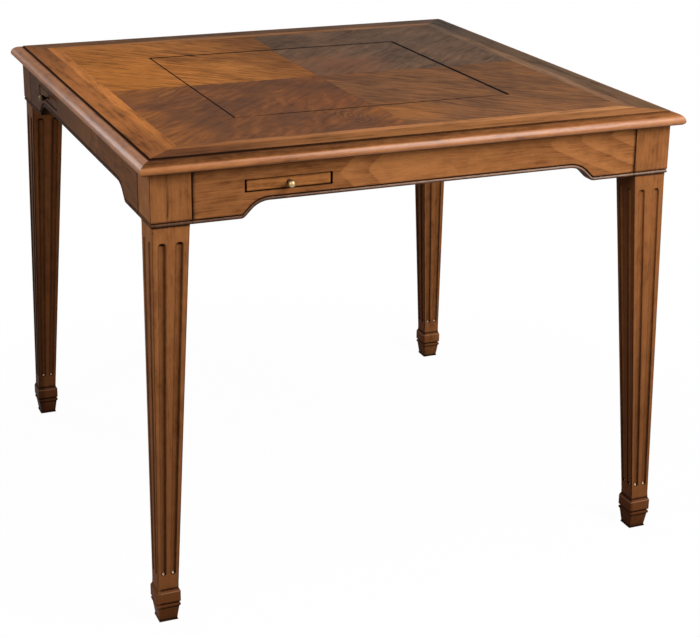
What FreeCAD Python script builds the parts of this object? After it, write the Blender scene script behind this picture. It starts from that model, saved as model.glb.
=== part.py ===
import FreeCAD, Part
import math
import os

from FreeCAD import Vector

# Square games table: four fluted legs, beaded aprons, a veneered top with a loose centre panel over a
# game well, and one drink slide in each side. Millimetres, +Z up, origin on the floor under the middle.
# The front faces -Y. Each side and corner is made once at the front or front left and turned about Z.

# Top
TOP_SIDE = 910.0
TABLE_HEIGHT = 750.0
TOP_THICKNESS = 22.0
VENEER = 1.2
BORDER_WIDTH = 37.5
INLAY_WIDTH = 19.0
FIELD_WIDTH = 135.4

# Edge moulding: a step below the veneer, then an oval nose
MOULDING_WIDTH = 20.5
STEP_DROP = 2.2
STEP_WIDTH = 2.0
NOSE_DROP = 15.5
NOSE_RETURN = 8.0

# Centre panel
PANEL_GAP = 1.6
PANEL_SHIFT_X = -0.7
PANEL_SHIFT_Y = -0.3
PANEL_SEAM_X = -6.0
PANEL_SEAM_Y = -2.0
CHESS_MARGIN = 41.0
CHESS_COUNT = 8

# Game well
WELL_LEDGE = 8.0
WELL_WALL = 18.0
WELL_DEPTH = 46.0
WELL_FLOOR = 6.0
FINGER_HOLE_RADIUS = 14.0
BAR_WIDTH = 34.0
POINT_GAP = 99.2
POINT_MARGIN = 7.0
POINT_COUNT = 6

# Leg post and necking bead
POST_SIDE = 63.1
POST_OVERHANG = 17.8
POST_ARRIS = 0.8
APRON_DEPTH = 82.0
BEAD_HEIGHT = 5.0
QUIRK_WIDTH = 1.6
QUIRK_DEPTH = 1.3
BEAD_ROUND = 1.9

# Leg shaft, with two flutes on each face
SHAFT_TOP = 57.8
SHAFT_BOTTOM = 33.5
SHAFT_SPLAY = 10.0
SHAFT_CHAMFER = 2.0
FLUTE_DEPTH = 3.4
FLUTE_TOP_WIDTH = 10.4
FLUTE_BOTTOM_WIDTH = 8.0
FLUTE_TOP_LAND = 9.8
FLUTE_BOTTOM_LAND = 5.2
FLUTE_TOP_GAP = 23.0
FLUTE_BOTTOM_GAP = 21.0

# Spade foot, from the top down
FOOT_HEIGHT = 57.5
COLLAR_SIDE = 38.5
COLLAR_SLOPE = 5.0
COLLAR_BAND = 18.0
COVE_SIDE = 33.0
COVE_HEIGHT = 2.5
RING_SIDE = 38.0
RING_HEIGHT = 6.0
RING_ROUND = 2.4
SPADE_TOP = 34.5
SPADE_BOTTOM = 28.5
LIP_SIDE = 30.5
LIP_HEIGHT = 3.0
FOOT_ARRIS = 0.6

# Floor glide
GLIDE_RADIUS = 10.0
GLIDE_PROUD = 1.0
GLIDE_RECESS = 2.0

# Apron
APRON_THICKNESS = 20.0
JOINT_CHAMFER = 1.2
OGEE_RISE = 24.5
OGEE_START = 75.1
OGEE_CORNER_RADIUS = 10.0
OGEE_COVE_RADIUS = 40.0
OGEE_SLOPE = 45.0

# Drink slide
SLOT_WIDTH = 138.0
SLOT_HEIGHT = 18.5
SLOT_FROM_POST = 81.6
SLOT_ABOVE_BEAD = 9.4
TRAY_SIDE_GAP = 3.0
TRAY_TOP_GAP = 1.0
TRAY_BACK_GAP = 7.0
TRAY_SETBACK = 0.4
TRAY_ROUND = 1.0
TRAVEL = 120.0
RECESS_RADIUS = 42.0
RECESS_DEPTH = 10.0
RECESS_FROM_FRONT = 62.0

# Runner, a grooved rail each side of a tray
GROOVE_DEPTH = 12.0
GROOVE_CLEARANCE = 0.4
RUNNER_WEB = 12.0
RUNNER_LIP = 9.0
RUNNER_SCREW_SETBACKS = [24.0, 78.0]

# Knob and stop peg
KNOB_RADIUS = 5.8
KNOB_REACH = 11.0
KNOB_STEM_RADIUS = 2.8
KNOB_BASE_RADIUS = 4.6
KNOB_BASE_HEIGHT = 1.6
KNOB_SHANK_RADIUS = 1.5
KNOB_SHANK_LENGTH = 11.0
PEG_RADIUS = 3.0
PEG_DROP = 5.5
PEG_SEAT = 4.5
PEG_STOP_GAP = 0.5

# Corner block and leg bolts
LEG_FLAT = 12.0
BLOCK_THICKNESS = 24.0
BLOCK_HEIGHT = 46.0
BOLT_RADIUS = 3.0
BOLT_SPACING = 22.0
BOLT_BITE = 38.0
BOLT_TAIL = 14.0
WASHER_RADIUS = 8.0
WASHER_THICKNESS = 1.6
NUT_RADIUS = 5.5
NUT_HEIGHT = 7.0
WING_REACH = 12.0
WING_RISE = 11.0
WING_THICKNESS = 2.4

# Wood screws
SCREW_RADIUS = 2.0
SCREW_HEAD_RADIUS = 4.0
SCREW_HEAD_HEIGHT = 2.6
SCREW_TIP = 5.0
SCREW_BITE = 13.0
SCREW_COVER = 10.0
HOLE_CLEARANCE = 0.05
HEAD_CLEARANCE = 0.5

# Places that follow from the sizes above
HALF_TOP = TOP_SIDE / 2
FLAT_EDGE = HALF_TOP - MOULDING_WIDTH
BORDER_EDGE = FLAT_EDGE - BORDER_WIDTH
FIELD_EDGE = BORDER_EDGE - INLAY_WIDTH
HALF_OPENING = FIELD_EDGE - FIELD_WIDTH
HALF_PANEL = HALF_OPENING - PANEL_GAP
CHESS_SQUARE = 2 * (HALF_PANEL - CHESS_MARGIN) / CHESS_COUNT
UNDERSIDE = TABLE_HEIGHT - TOP_THICKNESS
CORE_TOP = TABLE_HEIGHT - VENEER

POST_OUT = HALF_TOP - POST_OVERHANG
POST_IN = POST_OUT - POST_SIDE
APRON_IN = POST_OUT - APRON_THICKNESS
POST_BOTTOM = UNDERSIDE - APRON_DEPTH
BEAD_TOP = POST_BOTTOM + BEAD_HEIGHT
QUIRK_TOP = BEAD_TOP + QUIRK_WIDTH

SHAFT_INSET = (POST_SIDE - SHAFT_TOP) / 2
SHAFT_OUT_TOP = POST_OUT - SHAFT_INSET
SHAFT_OUT_BOTTOM = SHAFT_OUT_TOP + SHAFT_SPLAY
SHAFT_IN_TOP = SHAFT_OUT_TOP - SHAFT_TOP
SHAFT_IN_BOTTOM = SHAFT_OUT_BOTTOM - SHAFT_BOTTOM
FOOT_CENTRE = SHAFT_OUT_BOTTOM - SHAFT_BOTTOM / 2

WELL_IN = HALF_OPENING - WELL_LEDGE
WELL_OUT = WELL_IN + WELL_WALL
POINT_LENGTH = WELL_IN - POINT_GAP / 2
FLOOR_TOP = UNDERSIDE - WELL_DEPTH
FLOOR_BOTTOM = FLOOR_TOP - WELL_FLOOR

SLOT_LEFT = -POST_IN + SLOT_FROM_POST
SLOT_MIDDLE = SLOT_LEFT + SLOT_WIDTH / 2
SLOT_BOTTOM = QUIRK_TOP + OGEE_RISE + SLOT_ABOVE_BEAD
SLOT_TOP = SLOT_BOTTOM + SLOT_HEIGHT
TRAY_HALF = SLOT_WIDTH / 2 - TRAY_SIDE_GAP
TRAY_TOP = SLOT_TOP - TRAY_TOP_GAP
TRAY_BOTTOM = SLOT_BOTTOM + TRAY_TOP_GAP
TRAY_FRONT = POST_OUT - TRAY_SETBACK
TRAY_BACK = WELL_OUT + TRAY_BACK_GAP
TRAY_MID = (TRAY_TOP + TRAY_BOTTOM) / 2
PEG_PLACE = APRON_IN - PEG_STOP_GAP - TRAVEL - PEG_RADIUS
GROOVE_WALL = TRAY_HALF + GROOVE_CLEARANCE
RUNNER_BOTTOM = TRAY_BOTTOM - RUNNER_LIP

BLOCK_FACE = (2 * POST_IN + LEG_FLAT) / math.sqrt(2)
BLOCK_BACK = BLOCK_FACE - BLOCK_THICKNESS
BLOCK_BOTTOM = UNDERSIDE - BLOCK_HEIGHT
BLOCK_MIDDLE = UNDERSIDE - BLOCK_HEIGHT / 2
BOLT_HEIGHTS = [BLOCK_MIDDLE - BOLT_SPACING / 2, BLOCK_MIDDLE + BOLT_SPACING / 2]

SIDES = ["front", "right", "back", "left"]
CORNERS = ["front_left", "front_right", "back_right", "back_left"]
UP = Vector(0, 0, 1)


def box(x0, x1, y0, y1, z0, z1):
    """Upright block between two corners."""
    return Part.makeBox(x1 - x0, y1 - y0, z1 - z0, Vector(x0, y0, z0))


def prism(outline, z0, z1):
    """Upright prism on a plan outline of (x, y) points."""
    points = [Vector(x, y, z0) for x, y in outline]
    return Part.Face(Part.makePolygon(points + points[:1])).extrude(UP * (z1 - z0))


def turned(shape, quarters):
    """Copy of a shape, turned by quarter turns about the middle of the table."""
    copy = shape.copy()
    copy.rotate(Vector(), UP, 90 * quarters)
    return copy


def all_round(shapes):
    """The shapes of one side or corner, with their copies on the other three."""
    return [turned(shape, quarter) for quarter in range(4) for shape in shapes]


def aimed(shape, place, direction):
    """Copy of a shape made along +Z from the origin, moved to a place and pointed in a direction."""
    copy = shape.copy()
    copy.Placement = FreeCAD.Placement(place, FreeCAD.Rotation(UP, direction))
    return copy


def swapped(shape):
    """Mirror image across the front-left diagonal, where x and y change places."""
    return shape.mirror(Vector(), Vector(1, -1, 0))


def fused(shapes):
    """One clean solid from shapes that touch."""
    return shapes[0].fuse(shapes[1:]).removeSplitter().Solids[0]


def level_edges(shape):
    """The edges of a shape that lie flat."""
    return [edge for edge in shape.Edges if abs(edge.BoundBox.ZLength) < 1e-6]


def save(name, *solids):
    """Write one node as a STEP file."""
    Part.makeCompound(list(solids)).exportStep(f"parts/{name}.step")


def wood_screw(length, spare=0.0, sink=0.0):
    """Countersunk screw along +Z with its head at the origin. A spare gives the hole for it, with a
    counterbore of the given depth behind the head."""
    shank = Part.makeCylinder(SCREW_RADIUS + spare, length - SCREW_TIP)
    tip = Part.makeCone(SCREW_RADIUS + spare, spare, SCREW_TIP, UP * (length - SCREW_TIP))
    head = Part.makeCone(SCREW_HEAD_RADIUS + spare, SCREW_RADIUS + spare, SCREW_HEAD_HEIGHT)
    parts = [shank, tip, head]
    if sink:
        parts.append(Part.makeCylinder(SCREW_HEAD_RADIUS + HEAD_CLEARANCE, sink, UP * -sink))
    return fused(parts)


def drilled(shape, length, spots, direction, sink=0.0):
    """A shape with the holes for screws that start at the given spots."""
    hole = wood_screw(length, HOLE_CLEARANCE, sink)
    return shape.cut([aimed(hole, spot, direction) for spot in spots]).Solids[0]


def corner_square(inner, outer, arris, z):
    """Wire of a front-left square from inner to outer on both plan axes, with its corners cut off."""
    a = arris
    plan = [
        (-outer + a, -outer), (-inner - a, -outer), (-inner, -outer + a), (-inner, -inner - a),
        (-inner - a, -inner), (-outer + a, -inner), (-outer, -inner - a), (-outer, -outer + a),
    ]
    points = [Vector(x, y, z) for x, y in plan]
    return Part.makePolygon(points + points[:1])


def square_block(arris, low, high):
    """Block between two front-left squares, each given as (z, inner, outer)."""
    wires = [corner_square(inner, outer, arris, z) for z, inner, outer in (low, high)]
    return Part.makeLoft(wires, True, True)


def rounded_slab(z0, z1, inner, outer, radius):
    """Flat front-left square slab with its upper and lower edges rounded."""
    slab = box(-outer, -inner, -outer, -inner, z0, z1)
    return slab.makeFillet(radius, level_edges(slab))


def foot_block(z0, side0, z1, side1):
    """Block of the spade foot between two squares about the foot's middle."""
    low = (z0, FOOT_CENTRE - side0 / 2, FOOT_CENTRE + side0 / 2)
    high = (z1, FOOT_CENTRE - side1 / 2, FOOT_CENTRE + side1 / 2)
    return square_block(FOOT_ARRIS, low, high)


def spade_foot():
    """Solids of the foot, from the sloped collar down to the lip."""
    band_top = FOOT_HEIGHT - COLLAR_SLOPE
    band_low = band_top - COLLAR_BAND
    ring_top = band_low - COVE_HEIGHT
    ring_low = ring_top - RING_HEIGHT
    lip_top = GLIDE_PROUD + LIP_HEIGHT
    ring_half = RING_SIDE / 2
    return [
        foot_block(band_top, COLLAR_SIDE, FOOT_HEIGHT, SHAFT_BOTTOM),
        foot_block(band_low, COLLAR_SIDE, band_top, COLLAR_SIDE),
        foot_block(ring_top, COVE_SIDE, band_low, COVE_SIDE),
        rounded_slab(ring_low, ring_top, FOOT_CENTRE - ring_half, FOOT_CENTRE + ring_half, RING_ROUND),
        foot_block(lip_top, SPADE_BOTTOM, ring_low, SPADE_TOP),
        foot_block(GLIDE_PROUD, LIP_SIDE, lip_top, SPADE_BOTTOM),
    ]


def flute_radius(width):
    """Radius of the round cutter that leaves a flute of this width at the flute depth."""
    return (width ** 2 / 4 + FLUTE_DEPTH ** 2) / (2 * FLUTE_DEPTH)


def flutes():
    """Ball-ended cutters of the two flutes on the -Y face and on the +Y face of the front-left shaft."""
    cutters = []
    top_radius = flute_radius(FLUTE_TOP_WIDTH)
    low_radius = flute_radius(FLUTE_BOTTOM_WIDTH)
    top_z = POST_BOTTOM - FLUTE_TOP_GAP - FLUTE_TOP_WIDTH / 2
    low_z = FOOT_HEIGHT + FLUTE_BOTTOM_GAP + FLUTE_BOTTOM_WIDTH / 2

    def shaft_span(z):
        share = (POST_BOTTOM - z) / (POST_BOTTOM - FOOT_HEIGHT)
        outer = SHAFT_OUT_TOP + share * (SHAFT_OUT_BOTTOM - SHAFT_OUT_TOP)
        inner = SHAFT_IN_TOP + share * (SHAFT_IN_BOTTOM - SHAFT_IN_TOP)
        return inner, outer

    def axis_point(z, radius, land, width, hand, outside):
        inner, outer = shaft_span(z)
        away = radius - FLUTE_DEPTH
        x = -(inner + outer) / 2 + hand * ((outer - inner) / 2 - land - width / 2)
        y = -outer - away if outside else -inner + away
        return Vector(x, y, z)

    for outside in (True, False):
        for hand in (-1, 1):
            top = axis_point(top_z, top_radius, FLUTE_TOP_LAND, FLUTE_TOP_WIDTH, hand, outside)
            low = axis_point(low_z, low_radius, FLUTE_BOTTOM_LAND, FLUTE_BOTTOM_WIDTH, hand, outside)
            run = top - low
            cone = Part.makeCone(low_radius, top_radius, run.Length, low, run)
            ends = [Part.makeSphere(low_radius, low), Part.makeSphere(top_radius, top)]
            cutters.append(cone.fuse(ends))
    return cutters


def diagonal(reach, z):
    """Point on the front-left diagonal at a distance from the table's axis."""
    return Vector(-reach / math.sqrt(2), -reach / math.sqrt(2), z)


OUTWARD = Vector(-1, -1, 0)
INWARD = Vector(1, 1, 0)


def bolt_holes(depth_from, depth_to):
    """Holes for the two leg bolts along the front-left diagonal."""
    radius = BOLT_RADIUS + HOLE_CLEARANCE
    length = depth_to - depth_from
    return [Part.makeCylinder(radius, length, diagonal(depth_from, z), OUTWARD) for z in BOLT_HEIGHTS]


def leg():
    """Front-left leg: post, necking bead, fluted shaft and spade foot."""
    shaft = square_block(
        SHAFT_CHAMFER,
        (FOOT_HEIGHT, SHAFT_IN_BOTTOM, SHAFT_OUT_BOTTOM), (POST_BOTTOM, SHAFT_IN_TOP, SHAFT_OUT_TOP))
    quirk_in = POST_IN + QUIRK_DEPTH
    quirk_out = POST_OUT - QUIRK_DEPTH
    cutters = flutes()
    pieces = [
        square_block(POST_ARRIS, (QUIRK_TOP, POST_IN, POST_OUT), (UNDERSIDE, POST_IN, POST_OUT)),
        square_block(POST_ARRIS, (BEAD_TOP, quirk_in, quirk_out), (QUIRK_TOP, quirk_in, quirk_out)),
        rounded_slab(POST_BOTTOM, BEAD_TOP, POST_IN, POST_OUT, BEAD_ROUND),
        shaft.cut(cutters + [swapped(cutter) for cutter in cutters]).Solids[0],
    ]
    body = fused(pieces + spade_foot())
    flat = LEG_FLAT
    corner = [(-POST_IN, -POST_IN), (-POST_IN, -POST_IN - flat), (-POST_IN - flat, -POST_IN)]
    glide_recess = Part.makeCylinder(
        GLIDE_RADIUS + HOLE_CLEARANCE, GLIDE_PROUD + GLIDE_RECESS, Vector(-FOOT_CENTRE, -FOOT_CENTRE, 0))
    cuts = [prism(corner, BLOCK_BOTTOM, UNDERSIDE), glide_recess]
    return body.cut(cuts + bolt_holes(BLOCK_BACK, BLOCK_FACE + BOLT_BITE)).Solids[0]


def glide():
    """Round glide let into the front-left foot."""
    return Part.makeCylinder(
        GLIDE_RADIUS, GLIDE_PROUD + GLIDE_RECESS, Vector(-FOOT_CENTRE, -FOOT_CENTRE, 0))


def ogee_path(offset):
    """Edges of the front apron's lower line from left to right, moved up into the wood by an offset.
    Each end is a flat, a rounded corner, a slope and a cove, all tangent."""
    turn = math.radians(OGEE_SLOPE)
    low = POST_BOTTOM + offset
    high = POST_BOTTOM + OGEE_RISE + offset
    corner_radius = OGEE_CORNER_RADIUS - offset
    cove_radius = OGEE_COVE_RADIUS + offset
    arcs_rise = (OGEE_CORNER_RADIUS + OGEE_COVE_RADIUS) * (1 - math.cos(turn))
    slope_run = (OGEE_RISE - arcs_rise) / math.tan(turn)
    corner_x = POST_IN - OGEE_START
    cove_x = corner_x - (OGEE_CORNER_RADIUS + OGEE_COVE_RADIUS) * math.sin(turn) - slope_run
    corner_z = POST_BOTTOM + OGEE_CORNER_RADIUS
    cove_z = POST_BOTTOM + OGEE_RISE - OGEE_COVE_RADIUS

    def on_corner(angle, side):
        x = corner_x - corner_radius * math.sin(angle)
        return Vector(side * x, -POST_OUT, corner_z - corner_radius * math.cos(angle))

    def on_cove(angle, side):
        x = cove_x + cove_radius * math.sin(angle)
        return Vector(side * x, -POST_OUT, cove_z + cove_radius * math.cos(angle))

    def end_edges(side):
        return [
            Part.makeLine(Vector(side * POST_IN, -POST_OUT, low), on_corner(0, side)),
            Part.Arc(on_corner(0, side), on_corner(turn / 2, side), on_corner(turn, side)).toShape(),
            Part.makeLine(on_corner(turn, side), on_cove(turn, side)),
            Part.Arc(on_cove(turn, side), on_cove(turn / 2, side), on_cove(0, side)).toShape(),
        ]

    middle = Part.makeLine(Vector(-cove_x, -POST_OUT, high), Vector(cove_x, -POST_OUT, high))
    return end_edges(-1) + [middle] + end_edges(1)


def strip_face(low_edges, low, high_edges, high):
    """Upright face at the front of the apron between two paths that end at the posts."""
    ends = [
        Part.makeLine(Vector(side * POST_IN, -POST_OUT, low), Vector(side * POST_IN, -POST_OUT, high))
        for side in (-1, 1)
    ]
    return Part.Face(Part.Wire(Part.__sortEdges__(low_edges + high_edges + ends)))


def block_screw_spots():
    """Heads of the two screws that hold the front-left block to the front apron."""
    reach = (BLOCK_FACE * math.sqrt(2) - APRON_IN) - SCREW_COVER
    return [Vector(-reach, -APRON_IN + SCREW_COVER, z) for z in BOLT_HEIGHTS]


BLOCK_SCREW_LENGTH = SCREW_COVER + SCREW_BITE
TO_FRONT = Vector(0, -1, 0)


def apron():
    """Front apron: ogee lower edge with a quirked bead, and the slot for the drink slide."""
    top_edge = [Part.makeLine(Vector(-POST_IN, -POST_OUT, UNDERSIDE), Vector(POST_IN, -POST_OUT, UNDERSIDE))]
    face = strip_face(ogee_path(0), POST_BOTTOM, top_edge, UNDERSIDE)
    board = face.extrude(Vector(0, APRON_THICKNESS, 0))
    quirk_low = ogee_path(BEAD_HEIGHT)
    quirk_high = ogee_path(BEAD_HEIGHT + QUIRK_WIDTH)
    quirk = strip_face(quirk_low, BEAD_TOP, quirk_high, QUIRK_TOP).extrude(Vector(0, QUIRK_DEPTH, 0))
    slot = box(SLOT_LEFT, SLOT_LEFT + SLOT_WIDTH, -POST_OUT, -APRON_IN, SLOT_BOTTOM, SLOT_TOP)
    lower_front = [
        edge for edge in board.Edges
        if edge.BoundBox.YLength < 1e-6 and abs(edge.BoundBox.YMin + POST_OUT) < 1e-6
        and edge.BoundBox.ZMax < POST_BOTTOM + OGEE_RISE + BEAD_HEIGHT
    ]
    board = board.makeFillet(BEAD_ROUND, lower_front)
    end_cuts = [
        prism([(side * POST_IN, -POST_OUT), (side * (POST_IN - JOINT_CHAMFER), -POST_OUT),
               (side * POST_IN, -POST_OUT + JOINT_CHAMFER)], POST_BOTTOM, UNDERSIDE)
        for side in (-1, 1)
    ]
    board = board.cut([quirk, slot] + end_cuts).Solids[0]
    spots = block_screw_spots()
    spots += [Vector(-spot.x, spot.y, spot.z) for spot in spots]
    return drilled(board, BLOCK_SCREW_LENGTH, spots, TO_FRONT)


def top_screw_spots():
    """Heads of the two screws up through the front-left block into the top rails."""
    along = BLOCK_THICKNESS
    middle = (BLOCK_FACE + BLOCK_BACK) / 2 / math.sqrt(2)
    near = middle - along
    far = middle + along
    z = UNDERSIDE - SCREW_COVER
    return [Vector(-near, -far, z), Vector(-far, -near, z)]


TOP_SCREW_LENGTH = SCREW_COVER + SCREW_BITE


def corner_block():
    """Front-left corner block, fitted between two aprons and against the leg's flat."""
    face = BLOCK_FACE * math.sqrt(2)
    back = BLOCK_BACK * math.sqrt(2)
    edge = APRON_IN
    plan = [(-edge, edge - face), (-edge, edge - back), (edge - back, -edge), (edge - face, -edge)]
    block = prism(plan, BLOCK_BOTTOM, UNDERSIDE)
    block = block.cut(bolt_holes(BLOCK_BACK, BLOCK_FACE)).Solids[0]
    sink = BLOCK_THICKNESS + SCREW_COVER
    for spot in block_screw_spots():
        block = drilled(block, BLOCK_SCREW_LENGTH, [spot], TO_FRONT, sink)
        mirrored = Vector(spot.y, spot.x, spot.z)
        block = drilled(block, BLOCK_SCREW_LENGTH, [mirrored], Vector(-1, 0, 0), sink)
    return drilled(block, TOP_SCREW_LENGTH, top_screw_spots(), UP, BLOCK_HEIGHT - SCREW_COVER)


def block_screws():
    """The four screws that hold the front-left block to its two aprons."""
    screw = wood_screw(BLOCK_SCREW_LENGTH)
    to_front = [aimed(screw, spot, TO_FRONT) for spot in block_screw_spots()]
    to_left = [aimed(screw, Vector(spot.y, spot.x, spot.z), Vector(-1, 0, 0)) for spot in block_screw_spots()]
    return to_front + to_left


def hanger_bolts():
    """The two bolts of the front-left leg, from inside the block into the post."""
    length = BOLT_TAIL + BLOCK_THICKNESS + BOLT_BITE
    start = BLOCK_BACK - BOLT_TAIL
    return [Part.makeCylinder(BOLT_RADIUS, length, diagonal(start, z), OUTWARD) for z in BOLT_HEIGHTS]


def washers():
    """Washers against the inner face of the front-left block."""
    ring = Part.makeCylinder(WASHER_RADIUS, WASHER_THICKNESS)
    ring = ring.cut(Part.makeCylinder(BOLT_RADIUS + HOLE_CLEARANCE, WASHER_THICKNESS))
    return [aimed(ring, diagonal(BLOCK_BACK, z), INWARD) for z in BOLT_HEIGHTS]


def wing_nuts():
    """Wing nuts on the bolts of the front-left leg."""
    hub = Part.makeCylinder(NUT_RADIUS, NUT_HEIGHT)
    half = WING_THICKNESS / 2
    wing_outline = [
        Vector(0, -half, NUT_HEIGHT / 3), Vector(WING_REACH, -half, NUT_HEIGHT),
        Vector(WING_REACH, -half, WING_RISE), Vector(WING_REACH - NUT_RADIUS, -half, WING_RISE),
        Vector(0, -half, NUT_HEIGHT * 2 / 3),
    ]
    wing = Part.Face(Part.makePolygon(wing_outline + wing_outline[:1])).extrude(Vector(0, WING_THICKNESS, 0))
    other = wing.copy()
    other.rotate(Vector(), UP, 180)
    bore = Part.makeCylinder(BOLT_RADIUS + HOLE_CLEARANCE, WING_RISE)
    nut = hub.fuse([wing, other]).cut(bore).removeSplitter().Solids[0]
    return [aimed(nut, diagonal(BLOCK_BACK - WASHER_THICKNESS, z), INWARD) for z in BOLT_HEIGHTS]


def mitred(inner, outer, z0, z1):
    """Front strip of a square frame, mitred at both ends."""
    return prism([(-outer, -outer), (outer, -outer), (inner, -inner), (-inner, -inner)], z0, z1)


def quarter_round(start, corner, end):
    """Edge shaped as a quarter of an ellipse that is tangent to both arms of a corner."""
    pull = 4 / 3 * (math.sqrt(2) - 1)
    curve = Part.BezierCurve()
    curve.setPoles([start, start + (corner - start) * pull, end + (corner - end) * pull, end])
    return curve.toShape()


def moulding():
    """Front edge moulding: a ledge below the veneer, then an oval nose that returns under the top."""
    ledge_z = TABLE_HEIGHT - STEP_DROP
    nose_z = TABLE_HEIGHT - NOSE_DROP
    start = -HALF_TOP

    def at(y, z):
        return Vector(start, y, z)

    round_start = at(-FLAT_EDGE - STEP_WIDTH, ledge_z)
    nose = at(-HALF_TOP, nose_z)
    under = at(-HALF_TOP + NOSE_RETURN, UNDERSIDE)
    edges = [
        Part.makeLine(at(-FLAT_EDGE, UNDERSIDE), at(-FLAT_EDGE, ledge_z)),
        Part.makeLine(at(-FLAT_EDGE, ledge_z), round_start),
        quarter_round(round_start, at(-HALF_TOP, ledge_z), nose),
        quarter_round(nose, at(-HALF_TOP, UNDERSIDE), under),
        Part.makeLine(under, at(-FLAT_EDGE, UNDERSIDE)),
    ]
    bar = Part.Face(Part.Wire(edges)).extrude(Vector(TOP_SIDE, 0, 0))
    wedge = prism([(0, 0), (-TOP_SIDE, -TOP_SIDE), (TOP_SIDE, -TOP_SIDE)], UNDERSIDE, TABLE_HEIGHT)
    return bar.common(wedge).Solids[0]


def field_quarter():
    """Front-left quarter of the field veneer, an L around the panel's opening."""
    f = FIELD_EDGE
    h = HALF_OPENING
    return prism([(-f, -f), (0, -f), (0, -h), (-h, -h), (-h, 0), (-f, 0)], CORE_TOP, TABLE_HEIGHT)


def runner_screw_spots():
    """Heads of the screws up through the front slide's two runners into the top rail."""
    offset = GROOVE_WALL + RUNNER_WEB / 2
    z = UNDERSIDE - SCREW_COVER
    return [
        Vector(SLOT_MIDDLE + hand * offset, -APRON_IN + setback, z)
        for hand in (-1, 1) for setback in RUNNER_SCREW_SETBACKS
    ]


RUNNER_SCREW_LENGTH = SCREW_COVER + SCREW_BITE


def top_rail():
    """Front rail of the top's core, mitred, with the screw holes in its underside."""
    rail = mitred(HALF_OPENING, FLAT_EDGE, UNDERSIDE, CORE_TOP)
    block_spot = top_screw_spots()[0]
    spots = [block_spot, Vector(-block_spot.x, block_spot.y, block_spot.z)]
    rail = drilled(rail, TOP_SCREW_LENGTH, spots, UP)
    return drilled(rail, RUNNER_SCREW_LENGTH, runner_screw_spots(), UP)


def runner(hand):
    """Runner on one side of the front slide: a web under the top, with a groove for the tray's edge."""
    tray_edge = GROOVE_WALL - GROOVE_DEPTH
    across = sorted(SLOT_MIDDLE + hand * reach for reach in (tray_edge, GROOVE_WALL + RUNNER_WEB))
    groove = sorted(SLOT_MIDDLE + hand * reach for reach in (tray_edge, GROOVE_WALL))
    rail = box(*across, -APRON_IN, -WELL_OUT, RUNNER_BOTTOM, UNDERSIDE)
    rail = rail.cut(box(*groove, -APRON_IN, -WELL_OUT, TRAY_BOTTOM, TRAY_TOP + GROOVE_CLEARANCE)).Solids[0]
    spots = [spot for spot in runner_screw_spots() if (spot.x - SLOT_MIDDLE) * hand > 0]
    return drilled(rail, RUNNER_SCREW_LENGTH, spots, UP, UNDERSIDE - RUNNER_BOTTOM)


def runner_screws():
    """Screws that hold the front slide's two runners."""
    screw = wood_screw(RUNNER_SCREW_LENGTH)
    return [aimed(screw, spot, UP) for spot in runner_screw_spots()]


def tray():
    """Front drink slide: a board with a round coaster recess, drilled for its knob and stop peg."""
    left = SLOT_MIDDLE - TRAY_HALF
    right = SLOT_MIDDLE + TRAY_HALF
    board = box(left, right, -TRAY_FRONT, -TRAY_BACK, TRAY_BOTTOM, TRAY_TOP)
    front = [
        edge for edge in board.Edges
        if edge.BoundBox.YLength < 1e-6 and abs(edge.BoundBox.YMin + TRAY_FRONT) < 1e-6
    ]
    board = board.makeFillet(TRAY_ROUND, front)
    recess = Part.makeCylinder(
        RECESS_RADIUS, RECESS_DEPTH,
        Vector(SLOT_MIDDLE, -TRAY_FRONT + RECESS_FROM_FRONT, TRAY_TOP - RECESS_DEPTH))
    knob_hole = Part.makeCylinder(
        KNOB_SHANK_RADIUS + HOLE_CLEARANCE, KNOB_SHANK_LENGTH,
        Vector(SLOT_MIDDLE, -TRAY_FRONT, TRAY_MID), Vector(0, 1, 0))
    peg_hole = Part.makeCylinder(
        PEG_RADIUS + HOLE_CLEARANCE, PEG_SEAT, Vector(SLOT_MIDDLE, -PEG_PLACE, TRAY_BOTTOM))
    return board.cut([recess, knob_hole, peg_hole]).Solids[0]


def knob():
    """Front slide's brass knob: base, stem, ball and the shank in the tray's front."""
    place = Vector(SLOT_MIDDLE, -TRAY_FRONT, TRAY_MID)
    parts = [
        Part.makeSphere(KNOB_RADIUS, place + TO_FRONT * KNOB_REACH),
        Part.makeCylinder(KNOB_STEM_RADIUS, KNOB_REACH, place, TO_FRONT),
        Part.makeCone(KNOB_BASE_RADIUS, KNOB_STEM_RADIUS, KNOB_BASE_HEIGHT, place, TO_FRONT),
        Part.makeCylinder(KNOB_SHANK_RADIUS, KNOB_SHANK_LENGTH, place, TO_FRONT * -1),
    ]
    return fused(parts)


def stop_peg():
    """Peg under the front tray that meets the back of the apron at the end of the travel."""
    return Part.makeCylinder(
        PEG_RADIUS, PEG_SEAT + PEG_DROP, Vector(SLOT_MIDDLE, -PEG_PLACE, TRAY_BOTTOM - PEG_DROP))


def floor_screw_spots():
    """Heads of the three screws up through the well's floor into the front wall."""
    middle = (WELL_IN + WELL_OUT) / 2
    return [Vector(share * WELL_IN, -middle, FLOOR_BOTTOM) for share in (-0.5, 0, 0.5)]


FLOOR_SCREW_LENGTH = WELL_FLOOR + SCREW_BITE


def well_wall():
    """Front wall of the game well, mitred. Its top edge carries the panel and the rail."""
    wall = mitred(WELL_IN, WELL_OUT, FLOOR_TOP, UNDERSIDE)
    return drilled(wall, FLOOR_SCREW_LENGTH, floor_screw_spots(), UP)


def floor_screws():
    """Screws along the front edge of the well's floor."""
    screw = wood_screw(FLOOR_SCREW_LENGTH)
    return [aimed(screw, spot, UP) for spot in floor_screw_spots()]


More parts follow.
